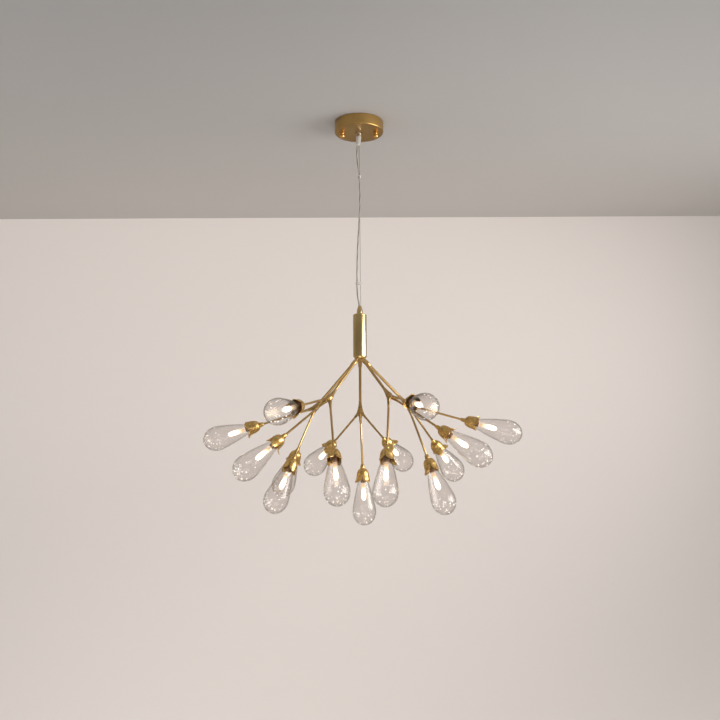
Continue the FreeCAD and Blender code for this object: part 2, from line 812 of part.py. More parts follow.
def lamp_holder():
    """The moulded two-pin holder, with the flange that the glass stands on."""
    flange = rod(holder_flange_diameter, cup_floor, holder_face)
    body = rod(holder_diameter, cup_floor, holder_face + holder_length)
    holder = flange.fuse(body).removeSplitter()
    top = holder_face + holder_length
    for side in (-1, 1):
        hole = pin_diameter + 2 * fit_gap
        holder = holder.cut(rod(hole, top - pin_depth - fit_gap, top + 1, side * pin_spacing / 2))
    return holder.cut(rod(cup_lead_hole, cup_floor - 1, top - pin_depth - 4))


def lamp_capsule():
    """The lit capsule: a short base, a coated body with a rounded end, and two pins."""
    start = capsule_start
    end = start + capsule_length
    radius = capsule_diameter / 2
    side_end = end - capsule_dome
    base = capsule_base_diameter / 2
    shoulder = start + capsule_base_length
    crown = V(radius * 0.78, 0, end - capsule_dome * 0.33)
    edges = [
        line(V(0, 0, start), V(base, 0, start)),
        line(V(base, 0, start), V(base, 0, shoulder)),
        line(V(base, 0, shoulder), V(radius, 0, shoulder)),
        line(V(radius, 0, shoulder), V(radius, 0, side_end)),
        spline([V(radius, 0, side_end), crown, V(0, 0, end)]).toShape(),
        line(V(0, 0, end), V(0, 0, start)),
    ]
    body = outline_face(edges).revolve(V(), UP, 360)
    for side in (-1, 1):
        pin = rod(pin_diameter, start - capsule_gap - pin_depth, start + 1, side * pin_spacing / 2)
        body = body.fuse(pin)
    return body


def glass_shade():
    """The blown drop, open at its neck and one even wall thick."""
    lip = V(glass_lip_radius, 0, holder_face)
    mouth = V(glass_mouth_radius, 0, glass_mouth_place)
    belly = V(glass_belly_radius, 0, glass_belly_place)
    tip = V(0, 0, glass_tip_place)
    rise = belly.z - mouth.z
    swell = belly.x - mouth.x
    drop = tip.z - belly.z
    points = [
        lip,
        V((lip.x + mouth.x) / 2 - 0.4, 0, (lip.z + mouth.z) / 2),
        mouth,
        V(mouth.x + swell * 0.30, 0, mouth.z + rise * 0.23),
        V(mouth.x + swell * 0.70, 0, mouth.z + rise * 0.60),
        belly,
        V(belly.x * 0.81, 0, belly.z + drop * 0.62),
        tip,
    ]
    outer = spline(points, V(0.04, 0, 1), V(-1, 0, 0))
    inner_points = inside(outer, points, glass_wall)
    inner_points[0] = V(lip.x - glass_wall, 0, lip.z)
    inner_points[-1] = V(0, 0, tip.z - glass_wall)
    inner = spline(inner_points, V(0.04, 0, 1), V(-1, 0, 0))
    edges = [
        outer.toShape(),
        line(tip, inner_points[-1]),
        inner.toShape(),
        line(inner_points[0], lip),
    ]
    return outline_face(edges).revolve(V(), UP, 360)


# ------------------------------------------------------------------ the whole
def build_rose():
    lead = tube_on(lead_route, lead_diameter, "canopy_lead")
    lead_room = tube_on(lead_route[:5], lead_diameter + 2 * free_gap, "the lead's room in the grip")
    save("ceiling_bracket", ceiling_bracket())
    save("bracket_studs", bracket_studs())
    save("earth_screw", earth_screw())
    save("canopy", canopy())
    save("canopy_ball_nuts", group([ball_nut(x) for x in stud_places()]))
    save("cord_nipple", cord_nipple())
    thread = nipple_diameter + 2 * fit_gap
    save("nipple_locknut", hexagon(locknut_flats, canopy_floor, canopy_floor + locknut_height, thread))
    save("nipple_nut", hexagon(outer_nut_flats, -canopy_height - outer_nut_height, -canopy_height, thread))
    save("cord_grip", cord_grip(lead_room))
    save("canopy_lead", lead)
    save("led_driver", led_driver())
    save("terminal_block", terminal_block())
    save("wire_ball", Part.makeSphere(ball_stop_diameter / 2, V(0, 0, swing_point)))


def build_suspension():
    save("suspension_wire", suspension_wire())
    save("power_cord", tube_on(cord_route, cord_diameter, "power_cord"))
    save("cord_ties", group([cord_tie(height) for height in tie_heights]))
    save("stop_disc", stop_disc())
    save("wire_crimp", wire_crimp())
    save("splice_block", splice_block())


def build_stem():
    save("cap_nose", cap_nose())
    save("stem_cap", stem_cap())
    save("nose_nut", nose_nut())
    save("stem_tube", stem_tube())
    save("arm_hub", arm_hub())


def build_arms():
    arm = arm_tube()
    cast_fork = fork()
    one_twig = twig()
    lamp_parts = {
        "calyx_cups": calyx_cup(),
        "lamp_holders": lamp_holder(),
        "lamp_capsules": lamp_capsule(),
        "glass_shades": glass_shade(),
    }
    centre = V(0, 0, hub_height)
    for number in range(len(arm_azimuths)):
        label = "_" + str(number + 1)
        across, along = arm_frame(number)
        side = along.cross(across)
        fork_centre = centre + along * arm_length
        turn = arm_turns[number]
        turned_across = across * math.cos(math.radians(turn)) + side * math.sin(math.radians(turn))
        save("arm_tube" + label, placed(arm, centre, across, along))
        save("arm_fork" + label, placed(cast_fork, fork_centre, turned_across, along))
        twigs = []
        lamps = {name: [] for name in lamp_parts}
        for index in range(twig_count):
            local = twig_way(index, turn)
            way = across * local.x + side * local.y + along * local.z
            back = along - way * along.dot(way)
            back.normalize()
            twigs.append(placed(one_twig, fork_centre, back, way))
            spin = math.radians(cup_spin + cup_spin_step * (index + number))
            spun = back * math.cos(spin) + way.cross(back) * math.sin(spin)
            for name, shape in lamp_parts.items():
                lamps[name].append(placed(shape, fork_centre + way * twig_length, spun, way))
        save("arm_twigs" + label, group(twigs))
        for name, shapes in lamps.items():
            save(name + label, group(shapes))


os.makedirs("parts", exist_ok=True)
build_rose()
build_suspension()
build_stem()
build_arms()
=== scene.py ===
import math

import bmesh
import bpy
import numpy as np
from mathutils import Matrix, Vector


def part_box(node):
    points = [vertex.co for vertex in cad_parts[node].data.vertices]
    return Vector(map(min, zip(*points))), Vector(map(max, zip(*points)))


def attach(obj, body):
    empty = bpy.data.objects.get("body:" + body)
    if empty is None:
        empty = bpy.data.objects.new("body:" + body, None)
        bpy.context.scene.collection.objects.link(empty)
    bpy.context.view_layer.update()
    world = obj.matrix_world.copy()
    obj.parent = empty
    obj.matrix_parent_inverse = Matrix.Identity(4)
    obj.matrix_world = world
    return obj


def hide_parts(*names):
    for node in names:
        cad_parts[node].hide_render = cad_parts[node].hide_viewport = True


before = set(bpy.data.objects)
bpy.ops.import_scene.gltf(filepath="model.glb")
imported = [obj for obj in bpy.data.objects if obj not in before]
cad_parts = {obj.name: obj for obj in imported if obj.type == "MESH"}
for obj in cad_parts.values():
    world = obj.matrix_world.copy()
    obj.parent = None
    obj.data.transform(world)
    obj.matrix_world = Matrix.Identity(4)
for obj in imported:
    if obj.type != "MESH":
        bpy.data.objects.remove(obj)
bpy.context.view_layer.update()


def put(name, data):
    """A new object in the scene."""
    piece = bpy.data.objects.new(name, data)
    bpy.context.scene.collection.objects.link(piece)
    return piece


# ---------------------------------------------------------------------------------------------
# The view. The eye stands a little over two and a half metres in front of the fitting, just below the
# lowest drops, and looks slightly up at it.
# ---------------------------------------------------------------------------------------------
eye = put("eye", bpy.data.cameras.new("eye"))
eye.data.sensor_width = 36.0
eye.data.lens = 36.0 * 1160.4 / 720.0
eye.data.clip_start = 0.05
eye.data.clip_end = 60.0
look_up = Matrix.Rotation(math.radians(90 + 11.89), 4, "X")
head_tilt = Matrix.Rotation(math.radians(-0.25), 4, "Z")
eye.matrix_world = Matrix.Translation((0, -2.6877, -1.1654)) @ look_up @ head_tilt
bpy.context.scene.camera = eye

# ---------------------------------------------------------------------------------------------
# The power cord. Clear soft plastic over two twisted copper cores, clamped inside the rose's grip, and
# hanging a little loose beside the wire until both dip into the stem. It is sheathed in one extrusion.
# ---------------------------------------------------------------------------------------------
mm = 0.001
cord_width = 3.5 * mm


def smooth(mesh):
    """Shades every face of a mesh smooth."""
    mesh.polygons.foreach_set("use_smooth", np.ones(len(mesh.polygons), dtype=bool))
    mesh.update()


def skin(name, grid, around=True, uv=None):
    """A mesh over a grid of points, rows by columns by 3. Each cell of the grid is one quad, and with
    around the last column is joined to the first. uv gives each grid point its place on the pattern."""
    rows, columns = grid.shape[:2]
    index = np.arange(rows * columns).reshape(rows, columns)
    right = np.roll(index, -1, axis=1) if around else index[:, 1:]
    left = index if around else index[:, :-1]
    quads = np.stack([left[:-1], right[:-1], right[1:], left[1:]], axis=-1).reshape(-1, 4)
    mesh = bpy.data.meshes.new(name)
    mesh.from_pydata(grid.reshape(-1, 3).tolist(), [], quads.tolist())
    if uv is not None:
        here, beside = uv, np.roll(uv, -1, axis=1)
        beside[:, -1, 1] += 1.0
        if not around:
            here, beside = here[:, :-1], beside[:, :-1]
        corners = np.stack([here[:-1], beside[:-1], beside[1:], here[1:]], axis=-2)
        mesh.uv_layers.new(name="surface")
        mesh.uv_layers["surface"].data.foreach_set("uv", corners.reshape(-1).astype(np.float32))
    smooth(mesh)
    return put(name, mesh)


def sleeve(name, path, radius, columns, lobes=0, lobe_depth=0.0, lobe_pitch=1.0):
    """A tube along a path: at each path point, a ring of radius R + depth * cos(lobes * angle - twist),
    where twist grows by a full turn for each lobe pitch of length. Its ends are drawn in to a point. The
    pattern on it runs in centimetres along the path and in turns around it."""
    step = np.diff(path, axis=0, prepend=path[:1])
    length = np.cumsum(np.linalg.norm(step, axis=1))
    way = np.gradient(path, axis=0)
    way /= np.linalg.norm(way, axis=1, keepdims=True)
    side = np.cross(way, np.array([0.0, 1.0, 0.0]))
    side /= np.linalg.norm(side, axis=1, keepdims=True)
    front = np.cross(way, side)
    angle = np.linspace(0, 2 * np.pi, columns, endpoint=False)
    twist = 2 * np.pi * length[:, None] / lobe_pitch
    ring = radius - lobe_depth + lobe_depth * np.cos(lobes * angle[None, :] - twist)
    grid = path[:, None] + ring[..., None] * (
        np.cos(angle)[None, :, None] * side[:, None] + np.sin(angle)[None, :, None] * front[:, None]
    )
    first = np.broadcast_to(path[:1, None], (1, columns, 3))
    last = np.broadcast_to(path[-1:, None], (1, columns, 3))
    grid = np.concatenate([first, grid, last])
    along = np.concatenate([length[:1], length, length[-1:]])
    uv = np.stack(np.broadcast_arrays(along[:, None] * 100, angle[None, :] / (2 * np.pi)), axis=-1)
    piece = skin(name, grid[:, ::-1], uv=uv)
    close_points(piece)
    return piece


def close_up(work, mesh):
    """Merges points that fell together at a pole or seam, turns every face outwards and fills the mesh."""
    bmesh.ops.remove_doubles(work, verts=work.verts, dist=1e-7)
    bmesh.ops.dissolve_degenerate(work, edges=work.edges, dist=1e-8)
    bmesh.ops.recalc_face_normals(work, faces=work.faces)
    work.to_mesh(mesh)
    work.free()


def close_points(piece):
    """Closes a piece's own mesh up."""
    work = bmesh.new()
    work.from_mesh(piece.data)
    close_up(work, piece.data)


def finish_of(name):
    """A new material with its surface shader and a short way to add and join nodes."""
    made = bpy.data.materials.new(name)
    made.use_nodes = True
    tree = made.node_tree
    shader = tree.nodes["Principled BSDF"]

    def add(kind, **settings):
        node = tree.nodes.new(kind)
        for key, value in settings.items():
            if key in node.inputs:
                node.inputs[key].default_value = value
            else:
                setattr(node, key, value)
        return node

    return made, tree.links.new, shader, add


def ramp(add, stops):
    """A colour ramp from (place, colour) stops."""
    node = add("ShaderNodeValToRGB")
    elements = node.color_ramp.elements
    while len(elements) < len(stops):
        elements.new(0.5)
    for element, (place, colour) in zip(elements, stops):
        element.position = place
        element.color = (*colour, 1.0)
    return node


def clear_sheath():
    """Two copper cores laid in a slow twist under a clear, faintly brown sheath."""
    made, join, shader, add = finish_of("clear_sheath")
    place = add("ShaderNodeUVMap", uv_map="surface")
    parts = add("ShaderNodeSeparateXYZ")
    join(place.outputs[0], parts.inputs[0])
    twist = add("ShaderNodeMath", operation="MULTIPLY")
    twist.inputs[1].default_value = 0.33
    join(parts.outputs["X"], twist.inputs[0])
    around = add("ShaderNodeMath", operation="MULTIPLY")
    around.inputs[1].default_value = 2.0
    join(parts.outputs["Y"], around.inputs[0])
    lay = add("ShaderNodeMath", operation="ADD")
    join(twist.outputs[0], lay.inputs[0])
    join(around.outputs[0], lay.inputs[1])
    turn = add("ShaderNodeMath", operation="MULTIPLY")
    turn.inputs[1].default_value = 2 * math.pi
    join(lay.outputs[0], turn.inputs[0])
    wave = add("ShaderNodeMath", operation="COSINE")
    join(turn.outputs[0], wave.inputs[0])
    half = add("ShaderNodeMath", operation="MULTIPLY_ADD")
    half.inputs[1].default_value = 0.5
    half.inputs[2].default_value = 0.5
    join(wave.outputs[0], half.inputs[0])
    core = ramp(add, [(0.0, (0.38, 0.35, 0.32)), (0.45, (0.31, 0.27, 0.24)), (0.8, (0.21, 0.17, 0.14))])
    join(half.outputs[0], core.inputs[0])
    join(core.outputs[0], shader.inputs["Base Color"])
    cloud = add("ShaderNodeTexNoise", Scale=220.0, Detail=3.0)
    where = add("ShaderNodeTexCoord")
    join(where.outputs["Object"], cloud.inputs["Vector"])
    rough = add("ShaderNodeMapRange")
    rough.inputs["To Min"].default_value = 0.22
    rough.inputs["To Max"].default_value = 0.38
    join(cloud.outputs[0], rough.inputs["Value"])
    join(rough.outputs[0], shader.inputs["Roughness"])
    shader.inputs["Coat Weight"].default_value = 0.6
    shader.inputs["Coat Roughness"].default_value = 0.12
    return made


cord_points = [
    (-4.5, 0, -58.5),
    (-5.9, -0.4, -82),
    (-4.4, -2.2, -107),
    (0.5, -3.5, -131),
    (0.5, -3.5, -154),
    (1.7, -3.2, -187),
    (0.9, -3.5, -226),
    (-1.2, -3.3, -267),
    (-3.7, -2.2, -308),
    (-5.5, -1.0, -350),
    (-6.3, -0.2, -391),
    (-6.3, -0.2, -430),
    (-4.7, 0.1, -447),
    (-1.5, 0, -464),
    (-1.2, 0, -484),
    (-1.3, 0, -504),
    (-1.3, 0, -520),
]
route = bpy.data.curves.new("cord_route", "CURVE")
route.dimensions = "3D"
route.resolution_u = 24
spline = route.splines.new("NURBS")
spline.points.add(len(cord_points) - 1)
spline.points.foreach_set("co", np.array([(x * mm, y * mm, z * mm, 1) for x, y, z in cord_points]).ravel())
spline.order_u = 3
spline.use_endpoint_u = True
route_piece = put("cord_route", route)
route_mesh = bpy.data.meshes.new_from_object(route_piece)
cord_path = np.zeros(len(route_mesh.vertices) * 3)
route_mesh.vertices.foreach_get("co", cord_path)
cord_path = cord_path.reshape(-1, 3)
bpy.data.objects.remove(route_piece)
bpy.data.meshes.remove(route_mesh)

cord = sleeve("cord_sheath", cord_path, cord_width / 2, 28)
cord.data.materials.append(clear_sheath())
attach(cord, "suspension")
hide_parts("power_cord")

# ---------------------------------------------------------------------------------------------
# The suspension wire. Bright steel strands laid in a twist, with a ball pressed on the upper end and a
# crimped sleeve under the stem's stop disc. It carries the whole weight and so hangs straight.
# ---------------------------------------------------------------------------------------------


def strand_steel():
    """Drawn steel: grey and fairly glossy, with a fine random mottle in tone and roughness; the valleys
    between the strands come from the wire's lobed shape.
    """
    made, join, shader, add = finish_of("strand_steel")
    where = add("ShaderNodeTexCoord")
    grain = add("ShaderNodeTexNoise", Scale=900.0, Detail=4.0)
    join(where.outputs["Object"], grain.inputs["Vector"])
    tone = ramp(add, [(0.3, (0.27, 0.26, 0.25)), (0.7, (0.50, 0.48, 0.46))])
    join(grain.outputs[0], tone.inputs[0])
    join(tone.outputs[0], shader.inputs["Base Color"])
    rough = add("ShaderNodeMapRange")
    rough.inputs["To Min"].default_value = 0.26
    rough.inputs["To Max"].default_value = 0.44
    join(grain.outputs[0], rough.inputs["Value"])
    join(rough.outputs[0], shader.inputs["Roughness"])
    shader.inputs["Metallic"].default_value = 1.0
    return made


wire_radius = 0.75 * mm
wire_low, wire_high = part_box("suspension_wire")
wire_top = np.array([wire_low.x + wire_radius, 0, wire_high.z])
wire_end = np.array([wire_high.x - wire_radius, 0, wire_low.z])
wire_path = wire_top + (wire_end - wire_top) * np.linspace(0, 1, 1400)[:, None]
wire = sleeve("wire_strands", wire_path, wire_radius, 24, lobes=6, lobe_depth=0.09 * mm, lobe_pitch=9.0 * mm)
strand_finish = strand_steel()
wire.data.materials.append(strand_finish)
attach(wire, "suspension")
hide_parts("suspension_wire")

# ---------------------------------------------------------------------------------------------
# The two clear clips that keep cord and wire together. Soft clear plastic, pushed on by hand, slightly
# milky with a few scuffs.
# ---------------------------------------------------------------------------------------------


def milky_clear(name, tint, cloudiness):
    """Clear moulded plastic that has gone a little milky: part of the light passes through."""
    made, join, shader, add = finish_of(name)
    where = add("ShaderNodeTexCoord")
    cloud = add("ShaderNodeTexNoise", Scale=140.0, Detail=4.0, Roughness=0.6)
    join(where.outputs["Object"], cloud.inputs["Vector"])
    tone = ramp(add, [(0.25, tuple(c * 0.86 for c in tint)), (0.75, tint)])
    join(cloud.outputs[0], tone.inputs[0])
    join(tone.outputs[0], shader.inputs["Base Color"])
    rough = add("ShaderNodeMapRange")
    rough.inputs["To Min"].default_value = 0.18
    rough.inputs["To Max"].default_value = 0.42
    join(cloud.outputs[0], rough.inputs["Value"])
    join(rough.outputs[0], shader.inputs["Roughness"])
    shader.inputs["Transmission Weight"].default_value = 1.0 - cloudiness
    shader.inputs["IOR"].default_value = 1.46
    return made


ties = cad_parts["cord_ties"]
ties.data.materials.clear()
ties.data.materials.append(milky_clear("clip_plastic", (0.92, 0.89, 0.83), 0.35))

# ---------------------------------------------------------------------------------------------
# The ceiling rose. A drum spun from brass sheet, satin turned and lacquered gold, open to the ceiling
# and rolled over at its lower edge. Two studs come through it, and its knobs pull it up to the strap.
# ---------------------------------------------------------------------------------------------


def rounded(corners, steps=6):
    """A closed outline in (radius, height) with every corner rounded. A corner is (radius, height, size):
    its point gives way to a quadratic curve that starts and ends that size back along its two sides."""
    c = np.array([(r, z) for r, z, _ in corners], float)
    size = np.array([s for _, _, s in corners], float)
    back = np.roll(c, 1, axis=0) - c
    ahead = np.roll(c, -1, axis=0) - c
    back_length = np.linalg.norm(back, axis=1)
    ahead_length = np.linalg.norm(ahead, axis=1)
    size = np.minimum(size, 0.48 * np.minimum(back_length, ahead_length))
    start = c + back * (size / back_length)[:, None]
    end = c + ahead * (size / ahead_length)[:, None]
    t = np.linspace(0, 1, steps)[None, :, None]
    curve = (1 - t) ** 2 * start[:, None] + 2 * t * (1 - t) * c[:, None] + t ** 2 * end[:, None]
    return curve.reshape(-1, 2)


def lathe(outline, origin=(0, 0, 0), x_way=(1, 0, 0), z_way=(0, 0, 1), columns=96, closed=True):
    """Turns an outline of (radius, height) in millimetres about an axis: each point becomes a ring of
    points origin + radius * (cos * x + sin * y) + height * z. Returns the grid in metres."""
    if closed:
        outline = np.concatenate([outline, outline[:1]])
    x_way, z_way, origin = (np.asarray(v, float) for v in (x_way, z_way, origin))
    y_way = np.cross(z_way, x_way)
    angle = np.linspace(0, 2 * np.pi, columns, endpoint=False)
    ring = np.cos(angle)[:, None] * x_way + np.sin(angle)[:, None] * y_way
    grid = outline[:, 0, None, None] * ring[None] + outline[:, 1, None, None] * z_way[None, None]
    return (grid + origin) * mm


def together(name, grids, around=True):
    """One piece from several grids."""
    work = bmesh.new()
    for grid in grids:
        part = skin(name + "_part", grid, around)
        work.from_mesh(part.data)
        mesh = part.data
        bpy.data.objects.remove(part)
        bpy.data.meshes.remove(mesh)
    mesh = bpy.data.meshes.new(name)
    close_up(work, mesh)
    smooth(mesh)
    return put(name, mesh)


def brass(name, low, high, rough, turn_lines=0.0, line_scale=900.0, cloud_scale=9.0, bump=0.02, spots=0.0):
    """Lacquered brass: colour drifts between two golds, fine rings from the lathe lie square to Z, and
    small dark specks sit in the lacquer."""
    made, join, shader, add = finish_of(name)
    where = add("ShaderNodeTexCoord")
    cloud = add("ShaderNodeTexNoise", Scale=cloud_scale, Detail=5.0, Roughness=0.55)
    join(where.outputs["Object"], cloud.inputs["Vector"])
    tone = ramp(add, [(0.32, low), (0.68, high)])
    join(cloud.outputs[0], tone.inputs[0])
    colour = tone.outputs[0]
    if spots:
        speck = add("ShaderNodeTexNoise", Scale=420.0, Detail=2.0, Roughness=0.7)
        join(where.outputs["Object"], speck.inputs["Vector"])
        few = ramp(add, [(0.66, (1.0, 1.0, 1.0)), (0.78, (1.0 - spots,) * 3)])
        join(speck.outputs[0], few.inputs[0])
        both = add("ShaderNodeMix", data_type="RGBA", blend_type="MULTIPLY")
        both.inputs[0].default_value = 1.0
        join(colour, both.inputs[6])
        join(few.outputs[0], both.inputs[7])
        colour = both.outputs[2]
    join(colour, shader.inputs["Base Color"])
    stretch = add("ShaderNodeMapping")
    stretch.inputs["Scale"].default_value = (6.0, 6.0, line_scale)
    join(where.outputs["Object"], stretch.inputs["Vector"])
    lines = add("ShaderNodeTexNoise", Scale=1.0, Detail=4.0, Roughness=0.6)
    join(stretch.outputs[0], lines.inputs["Vector"])
    spread = add("ShaderNodeMapRange")
    spread.inputs["To Min"].default_value = rough - 0.05 - turn_lines * 0.1
    spread.inputs["To Max"].default_value = rough + 0.05 + turn_lines * 0.1
    join(lines.outputs[0] if turn_lines else cloud.outputs[0], spread.inputs["Value"])
    join(spread.outputs[0], shader.inputs["Roughness"])
    relief = add("ShaderNodeBump", Strength=bump, Distance=0.0004)
    join(lines.outputs[0] if turn_lines else cloud.outputs[0], relief.inputs["Height"])
    join(relief.outputs[0], shader.inputs["Normal"])
    shader.inputs["Metallic"].default_value = 1.0
    shader.inputs["Coat Weight"].default_value = 0.15
    shader.inputs["Coat Roughness"].default_value = 0.15
    return made


satin_gold = brass("satin_gold", (0.43, 0.26, 0.08), (0.57, 0.37, 0.13), 0.34, turn_lines=0.6, spots=0.25)
knob_gold = brass("knob_gold", (0.74, 0.42, 0.12), (0.86, 0.52, 0.17), 0.2, turn_lines=0.3)

drum = together("rose_drum", [lathe(rounded([
    (5.05, -27, 0.2), (60, -27, 2.6), (60, 0, 0.3), (58.8, 0, 0.3), (58.8, -25.8, 1.4), (5.05, -25.8, 0.2),
]), columns=192)])
drum.data.materials.append(satin_gold)
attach(drum, "ceiling_rose")
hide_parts("canopy")

knob_arc = np.linspace(-0.86, math.pi / 2, 24)
knob_outline = np.concatenate([
    [(2.05, -34.0), (2.05, -27.0), (4.7, -27.0), (5.0, -27.3), (5.0, -29.5), (4.7, -30.0)],
    np.stack([6.2 * np.cos(knob_arc), -34.7 - 6.2 * np.sin(knob_arc)], axis=-1),
])
stud_place = 41.25
knobs = together("rose_knobs", [
    lathe(knob_outline, (x, 0, 0), columns=64, closed=False) for x in (-stud_place, stud_place)
])
knobs.data.materials.append(knob_gold)
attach(knobs, "ceiling_rose")
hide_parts("canopy_ball_nuts")

# ---------------------------------------------------------------------------------------------
# What the rose hides: a zinc-plated strap with its screw slots, studs and earth screw, a moulded driver
# and terminal block, and the sleeved leads between them. They are seen only from above.
# ---------------------------------------------------------------------------------------------


def dress(node, material):
    """Gives a CAD node its finish."""
    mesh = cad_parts[node].data
    mesh.materials.clear()
    mesh.materials.append(material)


def plated(name, low, high, rough):
    """Plated steel: a grey drift with a fine mottle in the plating."""
    made, join, shader, add = finish_of(name)
    where = add("ShaderNodeTexCoord")
    mottle = add("ShaderNodeTexNoise", Scale=160.0, Detail=6.0, Roughness=0.65)
    join(where.outputs["Object"], mottle.inputs["Vector"])
    tone = ramp(add, [(0.3, low), (0.7, high)])
    join(mottle.outputs[0], tone.inputs[0])
    join(tone.outputs[0], shader.inputs["Base Color"])
    spread = add("ShaderNodeMapRange")
    spread.inputs["To Min"].default_value = rough - 0.08
    spread.inputs["To Max"].default_value = rough + 0.08
    join(mottle.outputs[0], spread.inputs["Value"])
    join(spread.outputs[0], shader.inputs["Roughness"])
    shader.inputs["Metallic"].default_value = 1.0
    return made


def moulded(name, low, high, rough, grain=600.0):
    """Moulded plastic or ceramic: a fine dimpled grain and a faint drift of tone."""
    made, join, shader, add = finish_of(name)
    where = add("ShaderNodeTexCoord")
    drift = add("ShaderNodeTexNoise", Scale=30.0, Detail=3.0)
    join(where.outputs["Object"], drift.inputs["Vector"])
    tone = ramp(add, [(0.3, low), (0.7, high)])
    join(drift.outputs[0], tone.inputs[0])
    join(tone.outputs[0], shader.inputs["Base Color"])
    dimples = add("ShaderNodeTexNoise", Scale=grain, Detail=3.0)
    join(where.outputs["Object"], dimples.inputs["Vector"])
    relief = add("ShaderNodeBump", Strength=0.15, Distance=0.0002)
    join(dimples.outputs[0], relief.inputs["Height"])
    join(relief.outputs[0], shader.inputs["Normal"])
    shader.inputs["Roughness"].default_value = rough
    return made


zinc = plated("zinc_plate", (0.50, 0.50, 0.48), (0.68, 0.68, 0.65), 0.34)
bright_nickel = plated("bright_nickel", (0.50, 0.48, 0.45), (0.68, 0.66, 0.62), 0.24)
for node in ("ceiling_bracket", "bracket_studs", "nipple_locknut", "nose_nut"):
    dress(node, zinc)
dress("earth_screw", brass("earth_brass", (0.55, 0.40, 0.16), (0.66, 0.50, 0.22), 0.3))
dress("led_driver", moulded("driver_case", (0.74, 0.74, 0.72), (0.82, 0.82, 0.80), 0.5))
dress("terminal_block", moulded("terminal_white", (0.72, 0.70, 0.64), (0.80, 0.78, 0.72), 0.45))
dress("splice_block", moulded("splice_white", (0.70, 0.68, 0.62), (0.78, 0.76, 0.70), 0.45))
dress("canopy_lead", moulded("lead_sleeve", (0.70, 0.68, 0.62), (0.78, 0.76, 0.72), 0.4))

# ---------------------------------------------------------------------------------------------
# The cord outlet: a nickel nipple and nut under the rose, and the soft clear grip screwed onto it, which
# holds the wire's ball and lets the cord out through its mouth.
# ---------------------------------------------------------------------------------------------
for node in ("cord_nipple", "nipple_nut", "stop_disc"):
    dress(node, bright_nickel)
for node in ("wire_ball", "wire_crimp"):
    dress(node, strand_finish)
dress("cord_grip", milky_clear("grip_plastic", (0.90, 0.88, 0.84), 0.4))

# ---------------------------------------------------------------------------------------------
# The stem: a drawn brass tube with a round-shouldered lid, a turned bullet on the lid that both strands
# run through, and the bored hub in its lower end. Satin polished along its length and lacquered.
# ---------------------------------------------------------------------------------------------
stem_gold = brass(
    "stem_gold", (0.66, 0.47, 0.20), (0.80, 0.60, 0.28), 0.22, turn_lines=0.4, line_scale=500.0, spots=0.2,
)

nose_side = np.linspace(0, 1, 24)
nose_bow = 0.9 * np.sin(np.pi * nose_side)
nose_outline = np.concatenate([
    [(3.3, -506.0), (3.3, -468.5), (3.6, -468.0)],
    np.stack([4.0 + 3.3 * nose_side + nose_bow, -468.0 - 18.8 * nose_side], axis=-1),
    [(8.4, -486.8), (8.8, -487.1), (8.8, -487.9), (8.7, -488.0), (6.0, -488.0), (6.0, -506.0)],
])
nose = together("stem_nose", [lathe(nose_outline, columns=96)])
lid = together("stem_lid", [lathe(rounded([
    (6.05, -488, 0.1), (9.8, -488, 1.5), (14.9, -489.1, 1.0), (16, -490.5, 0.8), (16, -492, 0.15),
    (14.75, -492, 0.1), (14.75, -500, 0.3), (6.05, -500, 0.2),
], steps=8), columns=128)])
tube = together("stem_tube_skin", [lathe(rounded([
    (16, -492, 0.2), (16, -592, 0.35), (14.8, -592, 0.2), (14.8, -492, 0.2),
]), columns=128)])
for piece, node in ((nose, "cap_nose"), (lid, "stem_cap"), (tube, "stem_tube")):
    piece.data.materials.append(stem_gold)
    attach(piece, "stem")
    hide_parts(node)
dress("arm_hub", stem_gold)

# ---------------------------------------------------------------------------------------------
# The arms. Five drawn tubes leave the hub, each with a turned collar at its root. They are polished and
# lacquered, and each turns stiffly in the hub.
# ---------------------------------------------------------------------------------------------
arm_azimuths = (0.0, 74.0, 146.0, 218.0, 287.0)
arm_tilts = (45.0, 46.0, 46.0, 44.0, 43.0)
arm_turns = (56.0, 36.0, 32.0, 97.0, 98.0)
hub_centre = np.array([0.0, 0.0, -589.0])
fork_reach = 162.0

arm_gold = brass("arm_gold", (0.56, 0.36, 0.14), (0.76, 0.52, 0.22), 0.20, cloud_scale=14.0, bump=0.01)
arm_ways = []
for azimuth, tilt in zip(np.radians(arm_azimuths), np.radians(arm_tilts)):
    outward = np.array([math.sin(azimuth), math.cos(azimuth), 0.0])
    up = np.array([0.0, 0.0, 1.0])
    across = outward * math.cos(tilt) + up * math.sin(tilt)
    along = outward * math.sin(tilt) - up * math.cos(tilt)
    arm_ways.append((across, along))

arm_outline = rounded([
    (2.4, 9.0, 0.1), (3.6, 9.0, 0.1), (3.6, 9.5, 0.1), (3.25, 9.5, 0.05), (3.25, 14.7, 0.2),
    (4.75, 14.7, 0.4), (4.75, 28.7, 2.5), (3.25, 33.7, 2.0), (3.25, 130.0, 0.1), (2.4, 130.0, 0.1),
], steps=8)
for number, (across, along) in enumerate(arm_ways, start=1):
    arm = together("arm_skin_%d" % number, [lathe(arm_outline, hub_centre, across, along, columns=40)])
    arm.data.materials.append(arm_gold)
    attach(arm, "arm_%d" % number)
    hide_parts("arm_tube_%d" % number)

# ---------------------------------------------------------------------------------------------
# The forks and twigs. Each fork is one brass casting that flows from its arm into three twigs with soft
# webs between them, filed smooth and gilt. The twigs are thin tubes soldered onto its spigots.
# ---------------------------------------------------------------------------------------------
twig_spread = math.radians(32.0)
twig_reach = 132.0
cast_gold = brass(
    "cast_gold", (0.44, 0.28, 0.10), (0.68, 0.46, 0.19), 0.28, cloud_scale=60.0, bump=0.08, spots=0.3,
)


